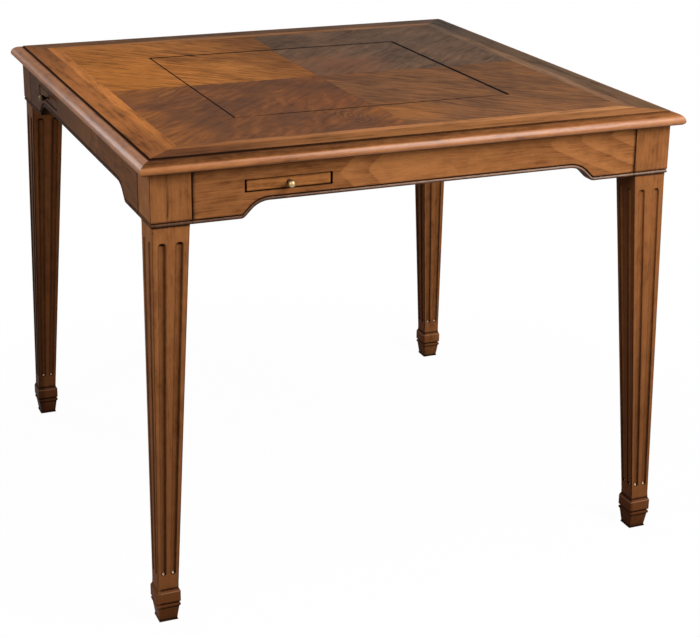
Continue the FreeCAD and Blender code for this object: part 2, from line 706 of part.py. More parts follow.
def well_floor():
    """Floor of the game well, with a finger hole in the middle for pushing the panel up."""
    board = box(-WELL_OUT, WELL_OUT, -WELL_OUT, WELL_OUT, FLOOR_BOTTOM, FLOOR_TOP)
    board = board.cut(Part.makeCylinder(FINGER_HOLE_RADIUS, WELL_FLOOR, UP * FLOOR_BOTTOM)).Solids[0]
    hole = wood_screw(FLOOR_SCREW_LENGTH, HOLE_CLEARANCE)
    return board.cut(all_round([aimed(hole, spot, UP) for spot in floor_screw_spots()])).Solids[0]


def bar_strip():
    """Veneer strip down the middle of the well's floor, between the two halves of the board."""
    half = BAR_WIDTH / 2
    strip = box(-half, half, -WELL_IN, WELL_IN, FLOOR_TOP, FLOOR_TOP + VENEER)
    return strip.cut(Part.makeCylinder(FINGER_HOLE_RADIUS, VENEER, UP * FLOOR_TOP)).Solids[0]


def backgammon_points(shade):
    """Twelve of the long triangles on the well's floor. Shade 0 or 1 picks every other one."""
    start = BAR_WIDTH / 2 + POINT_MARGIN
    pitch = (WELL_IN - POINT_MARGIN - start) / POINT_COUNT
    points = []
    for row, edge in enumerate((-WELL_IN, WELL_IN)):
        tip = edge - math.copysign(POINT_LENGTH, edge)
        for hand in (-1, 1):
            for index in range(POINT_COUNT):
                left = hand * (start + pitch * (index + 0.5)) - pitch / 2
                column = index if hand > 0 else POINT_COUNT - 1 - index
                if (column + row) % 2 == shade:
                    outline = [(left, edge), (left + pitch, edge), (left + pitch / 2, tip)]
                    points.append(prism(outline, FLOOR_TOP, FLOOR_TOP + VENEER))
    return points


def on_panel(solids):
    """Solids of the centre panel, moved to where the loose panel lies in its opening."""
    shift = Vector(PANEL_SHIFT_X, PANEL_SHIFT_Y, 0)
    return [solid.translated(shift) for solid in solids]


def panel_core():
    """Core of the loose centre panel."""
    return box(-HALF_PANEL, HALF_PANEL, -HALF_PANEL, HALF_PANEL, UNDERSIDE + VENEER, CORE_TOP)


def panel_quarters():
    """Four quarters of veneer on the panel's face, which meet a little off its middle."""
    xs = [-HALF_PANEL, PANEL_SEAM_X, HALF_PANEL]
    ys = [-HALF_PANEL, PANEL_SEAM_Y, HALF_PANEL]
    return [
        box(xs[i], xs[i + 1], ys[j], ys[j + 1], CORE_TOP, TABLE_HEIGHT)
        for i in range(2) for j in range(2)
    ]


def chess_squares(shade):
    """Squares of the playing board under the panel. Shade 0 or 1 picks every other one."""
    start = -CHESS_SQUARE * CHESS_COUNT / 2
    squares = []
    for column in range(CHESS_COUNT):
        for row in range(CHESS_COUNT):
            if (column + row) % 2 == shade:
                x = start + column * CHESS_SQUARE
                y = start + row * CHESS_SQUARE
                squares.append(box(x, x + CHESS_SQUARE, y, y + CHESS_SQUARE, UNDERSIDE, UNDERSIDE + VENEER))
    return squares


def build():
    """Make every node and write it."""
    os.makedirs("parts", exist_ok=True)
    by_corner = {"leg": leg()}
    by_side = {
        "apron": apron(),
        "top_rail": top_rail(),
        "edge_moulding": moulding(),
        "well_wall": well_wall(),
        "slide_tray": tray(),
        "slide_knob": knob(),
        "slide_stop_peg": stop_peg(),
    }
    top_screw = wood_screw(TOP_SCREW_LENGTH)
    groups = {
        "floor_glides": all_round([glide()]),
        "corner_blocks": all_round([corner_block()]),
        "hanger_bolts": all_round(hanger_bolts()),
        "hanger_washers": all_round(washers()),
        "wing_nuts": all_round(wing_nuts()),
        "block_screws": all_round(block_screws()),
        "top_screws": all_round([aimed(top_screw, spot, UP) for spot in top_screw_spots()]),
        "top_border": all_round([mitred(BORDER_EDGE, FLAT_EDGE, CORE_TOP, TABLE_HEIGHT)]),
        "inlay_band": all_round([mitred(FIELD_EDGE, BORDER_EDGE, CORE_TOP, TABLE_HEIGHT)]),
        "slide_runners": all_round([runner(-1), runner(1)]),
        "runner_screws": all_round(runner_screws()),
        "well_floor": [well_floor()],
        "floor_screws": all_round(floor_screws()),
        "backgammon_bar": [bar_strip()],
        "backgammon_points_light": backgammon_points(0),
        "backgammon_points_dark": backgammon_points(1),
        "panel_core": on_panel([panel_core()]),
        "panel_quarters": on_panel(panel_quarters()),
        "chess_squares_light": on_panel(chess_squares(0)),
        "chess_squares_dark": on_panel(chess_squares(1)),
        "chess_border": on_panel(all_round([
            mitred(HALF_PANEL - CHESS_MARGIN, HALF_PANEL, UNDERSIDE, UNDERSIDE + VENEER)])),
    }
    by_corner["field_quarter"] = field_quarter()
    for quarter in range(4):
        for name, shape in by_corner.items():
            save(f"{name}_{CORNERS[quarter]}", turned(shape, quarter))
        for name, shape in by_side.items():
            save(f"{name}_{SIDES[quarter]}", turned(shape, quarter))
    for name, solids in groups.items():
        save(name, *solids)


build()
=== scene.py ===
import math
from functools import partialmethod

import bpy
import numpy as np
from mathutils import Matrix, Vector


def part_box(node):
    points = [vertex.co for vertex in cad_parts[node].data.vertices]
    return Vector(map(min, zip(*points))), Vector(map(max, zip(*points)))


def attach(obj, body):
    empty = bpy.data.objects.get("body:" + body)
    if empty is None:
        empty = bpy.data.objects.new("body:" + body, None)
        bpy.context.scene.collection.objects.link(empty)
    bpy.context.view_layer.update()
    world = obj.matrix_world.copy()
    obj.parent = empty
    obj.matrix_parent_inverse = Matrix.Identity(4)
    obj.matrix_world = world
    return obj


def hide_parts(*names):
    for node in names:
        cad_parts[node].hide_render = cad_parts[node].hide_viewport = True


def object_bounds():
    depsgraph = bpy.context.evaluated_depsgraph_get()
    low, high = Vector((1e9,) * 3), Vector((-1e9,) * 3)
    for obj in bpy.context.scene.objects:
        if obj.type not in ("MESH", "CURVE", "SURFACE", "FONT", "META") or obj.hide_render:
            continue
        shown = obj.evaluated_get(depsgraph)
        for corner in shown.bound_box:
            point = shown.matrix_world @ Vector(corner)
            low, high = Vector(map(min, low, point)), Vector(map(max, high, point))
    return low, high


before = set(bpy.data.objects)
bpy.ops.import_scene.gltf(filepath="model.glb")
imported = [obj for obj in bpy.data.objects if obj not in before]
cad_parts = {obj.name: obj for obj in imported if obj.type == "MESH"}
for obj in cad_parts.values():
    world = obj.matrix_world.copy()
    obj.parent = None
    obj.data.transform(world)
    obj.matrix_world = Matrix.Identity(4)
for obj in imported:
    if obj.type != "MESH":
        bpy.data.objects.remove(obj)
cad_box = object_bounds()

# Shapes are worked out in millimetres and put into the meshes in metres.
MM = 0.001
SIDES = ["front", "right", "back", "left"]
CORNERS = ["front_left", "front_right", "back_right", "back_left"]
# Edges that turn by more than this stay crisp.
CRISP_ANGLE = math.radians(32.0)


def mm_box(node):
    """Lowest and highest corner of a node, in millimetres."""
    low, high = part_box(node)
    return np.array(low) / MM, np.array(high) / MM


# Places read from the frame
border_low, border_high = mm_box("top_border")
apron_low, apron_high = mm_box("apron_front")
tray_low, tray_high = mm_box("slide_tray_front")
panel_low, panel_high = mm_box("panel_quarters")
knob_low, knob_high = mm_box("slide_knob_front")
chess_low, chess_high = mm_box("chess_squares_light")
bar_low, _ = mm_box("backgammon_bar")
points_low, _ = mm_box("backgammon_points_light")
HALF_TOP = cad_box[1][0] / MM
TABLE_TOP = border_high[2]
FLAT_EDGE = border_high[0]
VENEER_LOW = border_low[2]
BORDER_EDGE = mm_box("inlay_band")[1][0]
HALF_OPENING = -mm_box("top_rail_front")[1][1]
POST_OUT = -apron_low[1]
APRON_IN = -apron_high[1]
POST_IN = apron_high[0]
POST_BOTTOM = apron_low[2]
UNDERSIDE = apron_high[2]
BLOCK_BOTTOM = mm_box("corner_blocks")[0][2]

# Leg
BEAD_HEIGHT = 5.0
QUIRK_WIDTH = 1.6
QUIRK_DEPTH = 1.3
BEAD_ROUND = 1.9
POST_ARRIS = 1.1
SHAFT_ARRIS = 1.9
FINE_ARRIS = 0.9
ARRIS_POINTS = 6
SHAFT_TOP = 57.8
SHAFT_BOTTOM = 33.5
FOOT_HEIGHT = 57.5
GLIDE_RADIUS = 10.0
GLIDE_PROUD = 1.0
LEG_FLAT = 12.0
FOOT_CENTRE = mm_box("floor_glides")[1][0] - GLIDE_RADIUS
POST_CENTRE = (POST_OUT + POST_IN) / 2

# Flutes: width and land at the bottom and at the top of the shaft, and the centres of their round ends
FLUTE_DEPTH = 3.4
FLUTE_POINTS = 18
LIP_WIDTH = 0.9
LIP_GLAZE = 0.62
FLUTE_WIDTHS = (8.0, 10.4)
FLUTE_LANDS = (5.2, 9.8)
FLUTE_GAP = 25.0
FLUTE_LOW = FOOT_HEIGHT + FLUTE_GAP + FLUTE_WIDTHS[0] / 2
FLUTE_TOP = POST_BOTTOM - FLUTE_GAP - FLUTE_WIDTHS[1] / 2
# Pale painted highlight in each flute's lower round end: its radius, and its drop below the end's centre
GLINT_RADIUS = 1.7
GLINT_DROP = 2.2

# Apron
JOINT_CHAMFER = 1.2
OGEE_RISE = 24.5
OGEE_START = 75.1
OGEE_CORNER_RADIUS = 10.0
OGEE_COVE_RADIUS = 40.0
OGEE_SLOPE = math.radians(45.0)
SLOT_SIDE_GAP = 3.0
SLOT_TOP_GAP = 1.0
SLOT_RIM = 1.5

# Edge moulding, and how dark the painted shadow line in its step is: along the front, and on the right, back
# and left
STEP_DROP = 2.2
STEP_WIDTH = 2.0
NOSE_DROP = 15.5
NOSE_RETURN = 8.0
LEDGE = TABLE_TOP - STEP_DROP
STRIP_COLUMNS = 9
STEP_SHADOW_FRONT = np.linspace(1.0, 0.62, STRIP_COLUMNS)
STEP_SHADOW_OTHERS = [0.75, 0.75, 1.0]

# Drink slide
RECESS_RADIUS = 42.0
RECESS_DEPTH = 10.0
RECESS_FROM_FRONT = 62.0
TRAY_ROUND = 1.0
KNOB_RADIUS = 5.8
KNOB_REACH = 11.0

# Veneer: how far the panel's seams lie off its middle, and the squares and points of the boards
PANEL_SEAM = np.array([-6.0, -2.0])
CHESS_COUNT = 8
POINTS_PER_SIDE = 6
POINT_TILE = 300.0


# Shapes

def eased(outline, steps=4):
    """An open outline with its inner corners rounded. Each row is (a, b, radius, mark). Where the outline
    turns by t, the arc starts radius * tan(t / 2) before the corner and ends as far after it, and its points
    turn evenly about its centre. The mark is carried along. Rows returned are (a, b, mark)."""
    rows = np.array(outline, float)
    result = [rows[:1, [0, 1, 3]]]
    for before, corner, after in zip(rows[:-2], rows[1:-1], rows[2:]):
        radius = corner[2]
        back = before[:2] - corner[:2]
        ahead = after[:2] - corner[:2]
        back /= np.linalg.norm(back)
        ahead /= np.linalg.norm(ahead)
        turn = math.pi - math.acos(np.clip(back @ ahead, -1, 1))
        if radius == 0 or turn < 1e-4:
            result.append(corner[None, [0, 1, 3]])
            continue
        reach = radius * math.tan(turn / 2)
        middle = back + ahead
        centre = corner[:2] + middle / np.linalg.norm(middle) * radius / math.cos(turn / 2)
        first = corner[:2] + back * reach - centre
        last = corner[:2] + ahead * reach - centre
        share = np.linspace(0, 1, steps + 1)[:, None]
        arc = centre + (np.sin((1 - share) * turn) * first + np.sin(share * turn) * last) / math.sin(turn)
        result.append(np.column_stack([arc, np.full(steps + 1, corner[3])]))
    result.append(rows[-1:, [0, 1, 3]])
    return np.concatenate(result)


def skin(rings):
    """Points and faces of a closed shell through a stack of rings that have as many points each: quads
    between neighbouring rings, and one flat face over each end."""
    count, around = rings.shape[:2]
    index = np.arange(count * around).reshape(count, around)
    after = np.roll(index, -1, axis=1)
    quads = np.stack([index[:-1], after[:-1], after[1:], index[1:]], axis=-1).reshape(-1, 4)
    return rings.reshape(-1, 3), quads.tolist() + [index[0, ::-1].tolist(), index[-1].tolist()]


def stacked(x, y, z):
    """Rings from coordinates that spread to one shape."""
    return np.stack(np.broadcast_arrays(x, y, z), axis=-1)


def between(start, stop, shares):
    """Values at shares of the way from start to stop."""
    return start + (stop - start) * shares


def turned(points, quarters):
    """Points turned by quarter turns about the middle of the table."""
    x, y, z = points.T
    for _ in range(quarters):
        x, y = -y, x
    return np.column_stack([x, y, z])


def make_piece(name, quarters, shell, finish, body, slot, node):
    """A closed shell of points, faces and glaze marks, turned by quarter turns, as an object on a body in
    place of a CAD node. Its faces are turned outwards by the sign of the volume they enclose."""
    points, faces, glaze_and_shade = shell
    points = turned(points, quarters)
    mesh = bpy.data.meshes.new(name)
    mesh.from_pydata((points * MM).tolist(), [], faces)
    mesh.calc_loop_triangles()
    corners = np.empty(len(mesh.loop_triangles) * 3, int)
    mesh.loop_triangles.foreach_get("vertices", corners)
    a, b, c = points[corners.reshape(-1, 3)].transpose(1, 0, 2)
    if np.einsum("ij,ij->", a, np.cross(b, c)) < 0:
        mesh.flip_normals()
    marks = mesh.attributes.new("glaze_and_shade", "FLOAT", "POINT")
    marks.data.foreach_set("value", glaze_and_shade.ravel())
    mesh.polygons.foreach_set("use_smooth", np.ones(len(mesh.polygons), bool))
    mesh.set_sharp_from_angle(angle=CRISP_ANGLE)
    mesh.update()
    piece = bpy.data.objects.new(name, mesh)
    bpy.context.scene.collection.objects.link(piece)
    mesh.materials.append(finishes[finish])
    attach(piece, body)
    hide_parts(node)


def leg_rows():
    """Rows of the leg's outline from the top down, as (half side, z, mark): post, quirk, necking bead,
    tapered shaft with rows at the flutes, and spade foot. Marks show where dark glaze gathers and where
    shade is painted, as under the apron and in the foot's recesses. They are above 1 on a bead, which gets
    a painted highlight, and below 0 on the foot's upper edges, where a pale highlight is painted."""
    post = (POST_OUT - POST_IN) / 2
    bead_top = POST_BOTTOM + BEAD_HEIGHT
    quirk_top = bead_top + QUIRK_WIDTH
    head = eased([
        (post, UNDERSIDE, 0, 0.5), (post, UNDERSIDE - 3, 0, 0.1), (post, BLOCK_BOTTOM, 0, 0),
        (post, BLOCK_BOTTOM - 0.3, 0, 0), (post, quirk_top + 4, 0, 0.05), (post, quirk_top, 0.4, 0.7),
        (post - QUIRK_DEPTH, quirk_top - 0.1, 0.2, 1), (post - QUIRK_DEPTH, bead_top + 0.1, 0.2, 1),
        (post, bead_top, BEAD_ROUND, 1.4), (post, POST_BOTTOM, BEAD_ROUND, 1.2),
        (SHAFT_TOP / 2, POST_BOTTOM, 0.4, 1), (SHAFT_TOP / 2 - 0.06, POST_BOTTOM - 3, 0, 0.25),
    ])
    foot = eased([
        (SHAFT_BOTTOM / 2 + 0.06, FOOT_HEIGHT + 3, 0, 0.25), (SHAFT_BOTTOM / 2, FOOT_HEIGHT, 0.3, 0.9),
        (18.8, 53.0, 0, -0.2), (19.25, 52.5, 0.5, -0.4), (19.25, 50.0, 0, 0.15), (19.25, 37.0, 0, 0.25),
        (19.25, 34.5, 0.5, 0.8), (16.5, 34.5, 0.3, 1), (16.5, 32.0, 0.3, 1), (19.0, 32.0, 2.4, 0.45),
        (19.0, 26.0, 2.4, 0.5), (17.25, 26.0, 0.3, 1), (17.0, 24.0, 0, 0.4), (14.45, 5.5, 0, 0.5),
        (14.25, 4.0, 0.3, 0.9), (15.25, 1.5, 0.3, 0.8), (15.25, GLIDE_PROUD, 0, 0.9),
    ])
    end = np.linspace(0.07, math.pi / 2, 10)
    z = np.concatenate([
        np.linspace(POST_BOTTOM - 8, POST_BOTTOM - FLUTE_GAP + 1.5, 3),
        FLUTE_TOP + np.cos(end) * FLUTE_WIDTHS[1] / 2,
        np.linspace(FLUTE_TOP, FLUTE_LOW, 40)[1:-1],
        FLUTE_LOW - np.cos(end[::-1]) * FLUTE_WIDTHS[0] / 2,
        np.linspace(FOOT_HEIGHT + FLUTE_GAP - 1.5, FOOT_HEIGHT + 8, 3),
    ])
    half = np.interp(z, [FOOT_HEIGHT, POST_BOTTOM], [SHAFT_BOTTOM / 2, SHAFT_TOP / 2])
    shaft = np.column_stack([half, z, np.full(len(z), 0.08)])
    return np.concatenate([head, shaft, foot])


def leg_shell():
    """The front-left leg: a rounded square carried down the rows. On the shaft each face has two flutes,
    where a point at a share d of the half width from the flute's axis is sunk by depth * (1 - d^3)^(1/3), a
    flat floor with round sides. A flute's ends are round too, so d there is measured to their centre."""
    half, z, mark = leg_rows().T[:, :, None]
    on_shaft = (z < POST_BOTTOM - 6) & (z > FOOT_HEIGHT + 6)
    share = np.clip((z - FOOT_HEIGHT) / (POST_BOTTOM - FOOT_HEIGHT), 0, 1)
    centre = between(FOOT_CENTRE, POST_CENTRE, share)
    corner = np.where(z > POST_BOTTOM, POST_ARRIS, np.where(on_shaft, SHAFT_ARRIS, FINE_ARRIS))
    corner = np.where((z > POST_BOTTOM - 0.5) & (z < POST_BOTTOM + BEAD_HEIGHT), FINE_ARRIS, corner)

    width = between(*FLUTE_WIDTHS, share)
    axis = half - between(*FLUTE_LANDS, share) - width / 2
    past = np.maximum(np.maximum(z - FLUTE_TOP, FLUTE_LOW - z), 0)
    open_half = np.sqrt(np.maximum((width / 2) ** 2 - past ** 2, 0))
    fluted = on_shaft & (open_half > 0.2)
    spread = np.where(fluted, open_half, width / 2)

    edge = half - corner
    land = np.arange(3) / 3
    rib = np.arange(4) / 4
    hollow = (1 - np.cos(np.linspace(0, math.pi, FLUTE_POINTS, endpoint=False))) / 2
    across = np.hstack([
        between(-edge, -axis - spread, land), between(-axis - spread, -axis + spread, hollow),
        between(-axis + spread, axis - spread, rib), between(axis - spread, axis + spread, hollow),
        between(axis + spread, edge, land),
    ])
    off_axis = np.abs(np.abs(across) - axis)
    distance = np.sqrt(off_axis ** 2 + past ** 2)
    inside = np.maximum(1 - (distance / (width / 2)) ** 3, 0)
    sunk = np.where(fluted, FLUTE_DEPTH * np.cbrt(inside), 0)
    turn = np.linspace(math.pi / 2, 0, ARRIS_POINTS)
    side_x = np.hstack([across, edge + corner * np.cos(turn)])
    side_y = np.hstack([half - sunk, edge + corner * np.sin(turn)])

    lip = np.clip(1 - np.abs(distance - width / 2) / LIP_WIDTH, 0, 1)
    wall = (np.where(across > 0, 1, -1) * axis - across) / spread
    # Painted shade in the flutes: darker on the right wall as seen from outside, and darker still at the
    # round ends
    flute_mark = np.where(sunk > 0, 0.32 + 0.25 * np.clip(wall, 0, 1), 0)
    flute_mark = np.where(fluted, np.maximum(flute_mark, LIP_GLAZE * lip), 0)
    flute_mark = flute_mark + np.where(past > 0, 0.5 * (sunk > 0), 0)
    # Painted highlight: a pale spot low in each flute's lower end
    painted_glint = off_axis ** 2 + (z - FLUTE_LOW + GLINT_DROP) ** 2 < GLINT_RADIUS ** 2
    flute_mark = np.where(painted_glint & fluted, -1, flute_mark)
    arris_mark = np.sin(np.linspace(0, math.pi, ARRIS_POINTS)) * np.where(z > FOOT_HEIGHT, 0.85, 0.6)
    side_mark = np.tile(np.hstack([flute_mark, arris_mark]), 4)
    # Marks below 0 are painted highlights and stay pale under the dark marks
    painted_highlight = (side_mark < 0) | ((mark < 0) & (side_mark <= 0))
    glaze_and_shade = np.where(painted_highlight, np.minimum(side_mark, mark), np.maximum(side_mark, mark))
    glaze_and_shade = np.where(mark > 1, mark, np.clip(glaze_and_shade, -1, 1))

    x = np.hstack([side_x, side_y, -side_x, -side_y])
    y = np.hstack([side_y, -side_x, -side_y, side_x])
    cut = np.where(z >= BLOCK_BOTTOM, LEG_FLAT, 0)
    slack = np.maximum(-(2 * half - cut) - (x + y), 0) / 2
    return *skin(stacked(-(centre + x + slack), -(centre + y + slack), z)), glaze_and_shade


def ogee_line(x, offset):
    """Height and inward normal of the front apron's lower line, moved into the wood by an offset, at each x.
    From the post to the middle it is a flat, a rounded corner, a slope and a cove, all tangent."""
    turn = OGEE_SLOPE
    corner_radius = OGEE_CORNER_RADIUS - offset
    cove_radius = OGEE_COVE_RADIUS + offset
    arcs_rise = (OGEE_CORNER_RADIUS + OGEE_COVE_RADIUS) * (1 - math.cos(turn))
    slope_run = (OGEE_RISE - arcs_rise) / math.tan(turn)
    corner_x = POST_IN - OGEE_START
    cove_x = corner_x - (OGEE_CORNER_RADIUS + OGEE_COVE_RADIUS) * math.sin(turn) - slope_run
    corner_z = POST_BOTTOM + OGEE_CORNER_RADIUS
    cove_z = POST_BOTTOM + OGEE_RISE - OGEE_COVE_RADIUS
    reach = np.abs(x)
    lean_corner = np.arcsin(np.clip((corner_x - reach) / corner_radius, 0, math.sin(turn)))
    lean_cove = np.arcsin(np.clip((reach - cove_x) / cove_radius, 0, math.sin(turn)))
    on_corner = corner_z - corner_radius * np.cos(lean_corner)
    on_cove = cove_z + cove_radius * np.cos(lean_cove)
    slope_from = corner_x - corner_radius * math.sin(turn)
    slope_to = cove_x + cove_radius * math.sin(turn)
    on_slope = corner_z - corner_radius * math.cos(turn) + (slope_from - reach) * math.tan(turn)
    z = np.where(reach > slope_from, on_corner, np.where(reach < slope_to, on_cove, on_slope))
    lean = np.where(reach > slope_from, lean_corner, np.where(reach < slope_to, lean_cove, turn))
    return z, np.sin(lean) * np.sign(x), np.cos(lean)


def apron_shell():
    """The front apron. Each column of points goes once round the board's section: up the bead, the quirk and
    the face, over the top and down the back. Columns stand on the offset line above the quirk, and the
    section below it follows the line's normal. The quads of the slot are left out, and four walls line it."""
    gap = np.array([SLOT_SIDE_GAP, 0, SLOT_TOP_GAP])
    slot_left, _, slot_low = tray_low - gap
    slot_right, _, slot_high = tray_high + gap
    curve = np.linspace(POST_IN - OGEE_START - 60, POST_IN - OGEE_START + 4, 60)
    joint_x = [POST_IN - 8, POST_IN - 2.4, POST_IN - JOINT_CHAMFER]
    half_columns = np.concatenate([curve, joint_x, [POST_IN, POST_IN - 40, 60.0, 140.0, 200.0]])
    slot_columns = [slot_left - SLOT_RIM, slot_left, slot_right, slot_right + SLOT_RIM]
    columns = np.unique(np.concatenate([-half_columns, half_columns, [0.0], slot_columns]))
    x = columns[:, None]
    base = BEAD_HEIGHT + QUIRK_WIDTH
    base_z, normal_x, normal_z = ogee_line(x, base)

    rise, out, mark = eased([
        (0, APRON_IN, 0, 0.6), (0, POST_OUT - 4, 0, 0.8), (0, POST_OUT, BEAD_ROUND, 1.2),
        (BEAD_HEIGHT, POST_OUT, BEAD_ROUND, 1.4), (BEAD_HEIGHT, POST_OUT - QUIRK_DEPTH, 0.2, 1),
        (base, POST_OUT - QUIRK_DEPTH, 0.2, 1), (base, POST_OUT, 0.35, 0.9), (base + 0.4, POST_OUT, 0, 0.8),
    ], steps=5).T
    away = np.minimum(rise - base, 0)
    low_z = base_z + normal_z * away + np.maximum(rise - base, 0)

    start = base_z + 0.4
    sill, lintel, top = (np.full_like(x, height) for height in (slot_low, slot_high, UNDERSIDE))
    thirds = np.arange(1, 3) / 3
    fourths = np.arange(1, 4) / 4
    face_z = np.hstack([
        start + np.array([1.5, 4.0]), between(start + 4.0, sill - SLOT_RIM, thirds), sill - SLOT_RIM, sill,
        between(sill, lintel, fourths), lintel, lintel + SLOT_RIM, between(lintel + SLOT_RIM, top, fourths),
        top - 3, top,
    ])
    face_mark = np.zeros(face_z.shape[1])
    face_mark[0] = 0.25
    # Painted shadow under the moulding, along the top of the face
    face_mark[-2:] = [0.3, 0.6]
    z = np.hstack([low_z, face_z, top, lintel, sill])
    section_y = np.concatenate([out, np.full(face_z.shape[1], POST_OUT), np.full(3, APRON_IN)])
    ease = np.maximum(np.abs(x) - (POST_IN - JOINT_CHAMFER), 0)
    y = np.where(section_y > POST_OUT - 3, np.minimum(section_y, POST_OUT - ease), section_y)
    around = z.shape[1]
    x = x + normal_x * np.concatenate([away, np.zeros(around - len(away))])

    joint = np.interp(np.abs(columns), joint_x, [0, 0.6, 1.0])[:, None]
    glaze_and_shade = np.maximum(np.concatenate([mark, face_mark, [0.3, 0, 0]]), joint)
    # Painted shade round the slot's opening and on its jambs
    off_slot = np.maximum(np.maximum(slot_left - x, x - slot_right), np.maximum(slot_low - z, z - slot_high))
    glaze_and_shade = np.maximum(glaze_and_shade, np.clip(1 - off_slot / SLOT_RIM, 0, 1))

    points, faces = skin(stacked(x, -y, z))
    front_low = len(mark) + 5
    front_high = front_low + 4
    back_high = around - 2
    back_low = around - 1
    first, last = np.searchsorted(columns, [slot_left, slot_right])
    column = np.arange(len(columns) - 1)[:, None]
    place = np.arange(around)
    in_slot = (column >= first) & (column < last)
    hole = in_slot & (((place >= front_low) & (place < front_high)) | (place == back_high))
    kept = [face for face, gone in zip(faces, hole.ravel().tolist() + [False, False]) if not gone]
    index = np.arange(len(columns) * around).reshape(len(columns), around)
    lining = [np.stack([index[first:last, a], index[first + 1:last + 1, a],
                        index[first + 1:last + 1, b], index[first:last, b]], axis=-1)
              for a, b in ((front_low, back_low), (back_high, front_high))]
    jamb = [*range(front_low, front_high + 1), back_high, back_low]
    jambs = [index[first, jamb].tolist(), index[last, jamb[::-1]].tolist()]
    return points, kept + np.concatenate(lining).tolist() + jambs, glaze_and_shade


def quarter_ellipse(start, corner, end, count=31):
    """Quarter of an ellipse from start to end, tangent to both arms of the corner between them."""
    turn = np.linspace(0, math.pi / 2, count)[:, None]
    start, corner, end = (np.array(point, float) for point in (start, corner, end))
    return corner + (end - corner) * (1 - np.cos(turn)) + (start - corner) * (1 - np.sin(turn))


def mitred_strip(profile):
    """A closed section of (outward, z) points carried along the front edge. Each point's run ends on the
    mitre, where its x is plus or minus its distance outward."""
    out, z = profile.T
    share = np.linspace(-1, 1, STRIP_COLUMNS)[:, None]
    return skin(stacked(share * out, -out, z))


def moulding_section():
    """Section of the edge moulding, from the underside up: inner wall, ledge, oval nose and its return.
    Also the angle of each point on the nose, from 0 at the ledge to 90 at its widest and 180 underneath."""
    nose = TABLE_TOP - NOSE_DROP
    upper = quarter_ellipse((FLAT_EDGE + STEP_WIDTH, LEDGE), (HALF_TOP, LEDGE), (HALF_TOP, nose))
    lower = quarter_ellipse((HALF_TOP, nose), (HALF_TOP, UNDERSIDE), (HALF_TOP - NOSE_RETURN, UNDERSIDE))
    inner = np.array([(FLAT_EDGE, UNDERSIDE), (FLAT_EDGE, LEDGE - 0.3), (FLAT_EDGE + 0.3, LEDGE)])
    angles = np.concatenate([[200, -2, -1], np.linspace(0, 180, 61)])
    return np.concatenate([inner, upper, lower[1:]]), angles


def moulding_marks(angles, side):
    """Marks of the moulding at each column. Glaze and painted shade fill the ledge as a shadow line and fade
    out on the upper slope. On the front that happens later towards the left end. The return underneath has
    painted shade too."""
    if side == "front":
        fades = zip(np.linspace(0.70, 0.50, STRIP_COLUMNS), np.linspace(63, 48, STRIP_COLUMNS), STEP_SHADOW_FRONT)
        return np.stack([np.interp(angles, [-1, 8, 14, end - 8, end + 5, 90, 120, 140, 160, 180],
                                   [step, 0.8 * step, mark, mark - 0.08, 0.06, 0, 0.15, 0.45, 0.85, 0.95])
                         for mark, end, step in fades])
    row = np.interp(angles, [-1, 2, 6, 20, 40, 70, 90, 120, 150, 180],
                    [1.0, 0.7, 0.3, 0.15, 0.08, 0.05, 0.3, 0.55, 0.85, 0.95])
    return np.tile(row, (STRIP_COLUMNS, 1))


def border_section():
    """Section of the border: veneer on the top, turned down over the edge of the top to the ledge."""
    skin_out = FLAT_EDGE + 0.15
    # Marks paint the step's shadow line on the top's outer edge and on its turned-down face
    outline = eased([
        (FLAT_EDGE - 0.6, LEDGE - 0.2, 0, 1), (FLAT_EDGE - 0.6, VENEER_LOW, 0, 0),
        (BORDER_EDGE, VENEER_LOW, 0, 0), (BORDER_EDGE, TABLE_TOP, 0, 0.1), (BORDER_EDGE + 1, TABLE_TOP, 0, 0),
        (skin_out - 1.8, TABLE_TOP, 0, 0), (skin_out - 1.0, TABLE_TOP, 0, 0.5), (skin_out, TABLE_TOP, 0.6, 1),
        (skin_out, LEDGE - 0.2, 0, 1),
    ])
    return outline[:, :2], outline[:, 2]


def tray_shell():
    """The front drink slide, as rings about the coaster recess: its floor, its rounded wall and rim, then the
    board's outline, where a ray at angle t meets the rectangle, over the edge and under."""
    centre = np.array([(tray_low[0] + tray_high[0]) / 2, tray_low[1] + RECESS_FROM_FRONT])
    low = tray_low[:2] - centre
    high = tray_high[:2] - centre
    corner_turns = [math.atan2(y, x) for x in (low[0], high[0]) for y in (low[1], high[1])]
    turn = np.unique(np.concatenate([np.linspace(-math.pi, math.pi, 96, endpoint=False), corner_turns]))
    direction = np.column_stack([np.cos(turn), np.sin(turn)])

    def outline(inset):
        limit = np.where(direction > 0, high - inset, low + inset)
        reach = np.divide(limit, direction, out=np.full(direction.shape, np.inf), where=direction != 0)
        return reach.min(axis=1)

    top = tray_high[2]
    bottom = tray_low[2]
    floor = top - RECESS_DEPTH
    edge = TRAY_ROUND
    # Marks paint shade in the recess's corner and on the rounded edges, where the slide meets its slot
    recess = eased([
        (RECESS_RADIUS - 8, floor, 0, 0), (RECESS_RADIUS - 0.01, floor, 3.0, 0.5),
        (RECESS_RADIUS, top, 1.2, 0.3), (RECESS_RADIUS + 3, top, 0, 0),
    ])
    round_over = np.linspace(0, math.pi / 2, 4)
    rings = [(np.full(len(turn), radius), z, mark) for radius, z, mark in recess]
    rings += [(outline(edge * (1 - math.sin(a))), top - edge * (1 - math.cos(a)), 0.5) for a in round_over]
    rings += [(outline(0.0), z, 0.0) for z in (top - edge - 1.2, bottom + edge + 1.2)]
    rings += [(outline(edge * (1 - math.cos(a))), bottom + edge * (1 - math.sin(a)), 0.5) for a in round_over]
    reach, z, mark = (np.array(values) for values in zip(*rings))
    x = reach * direction[:, 0] + centre[0]
    y = reach * direction[:, 1] + centre[1]
    return *skin(stacked(x, y, z[:, None])), np.repeat(mark, len(turn))


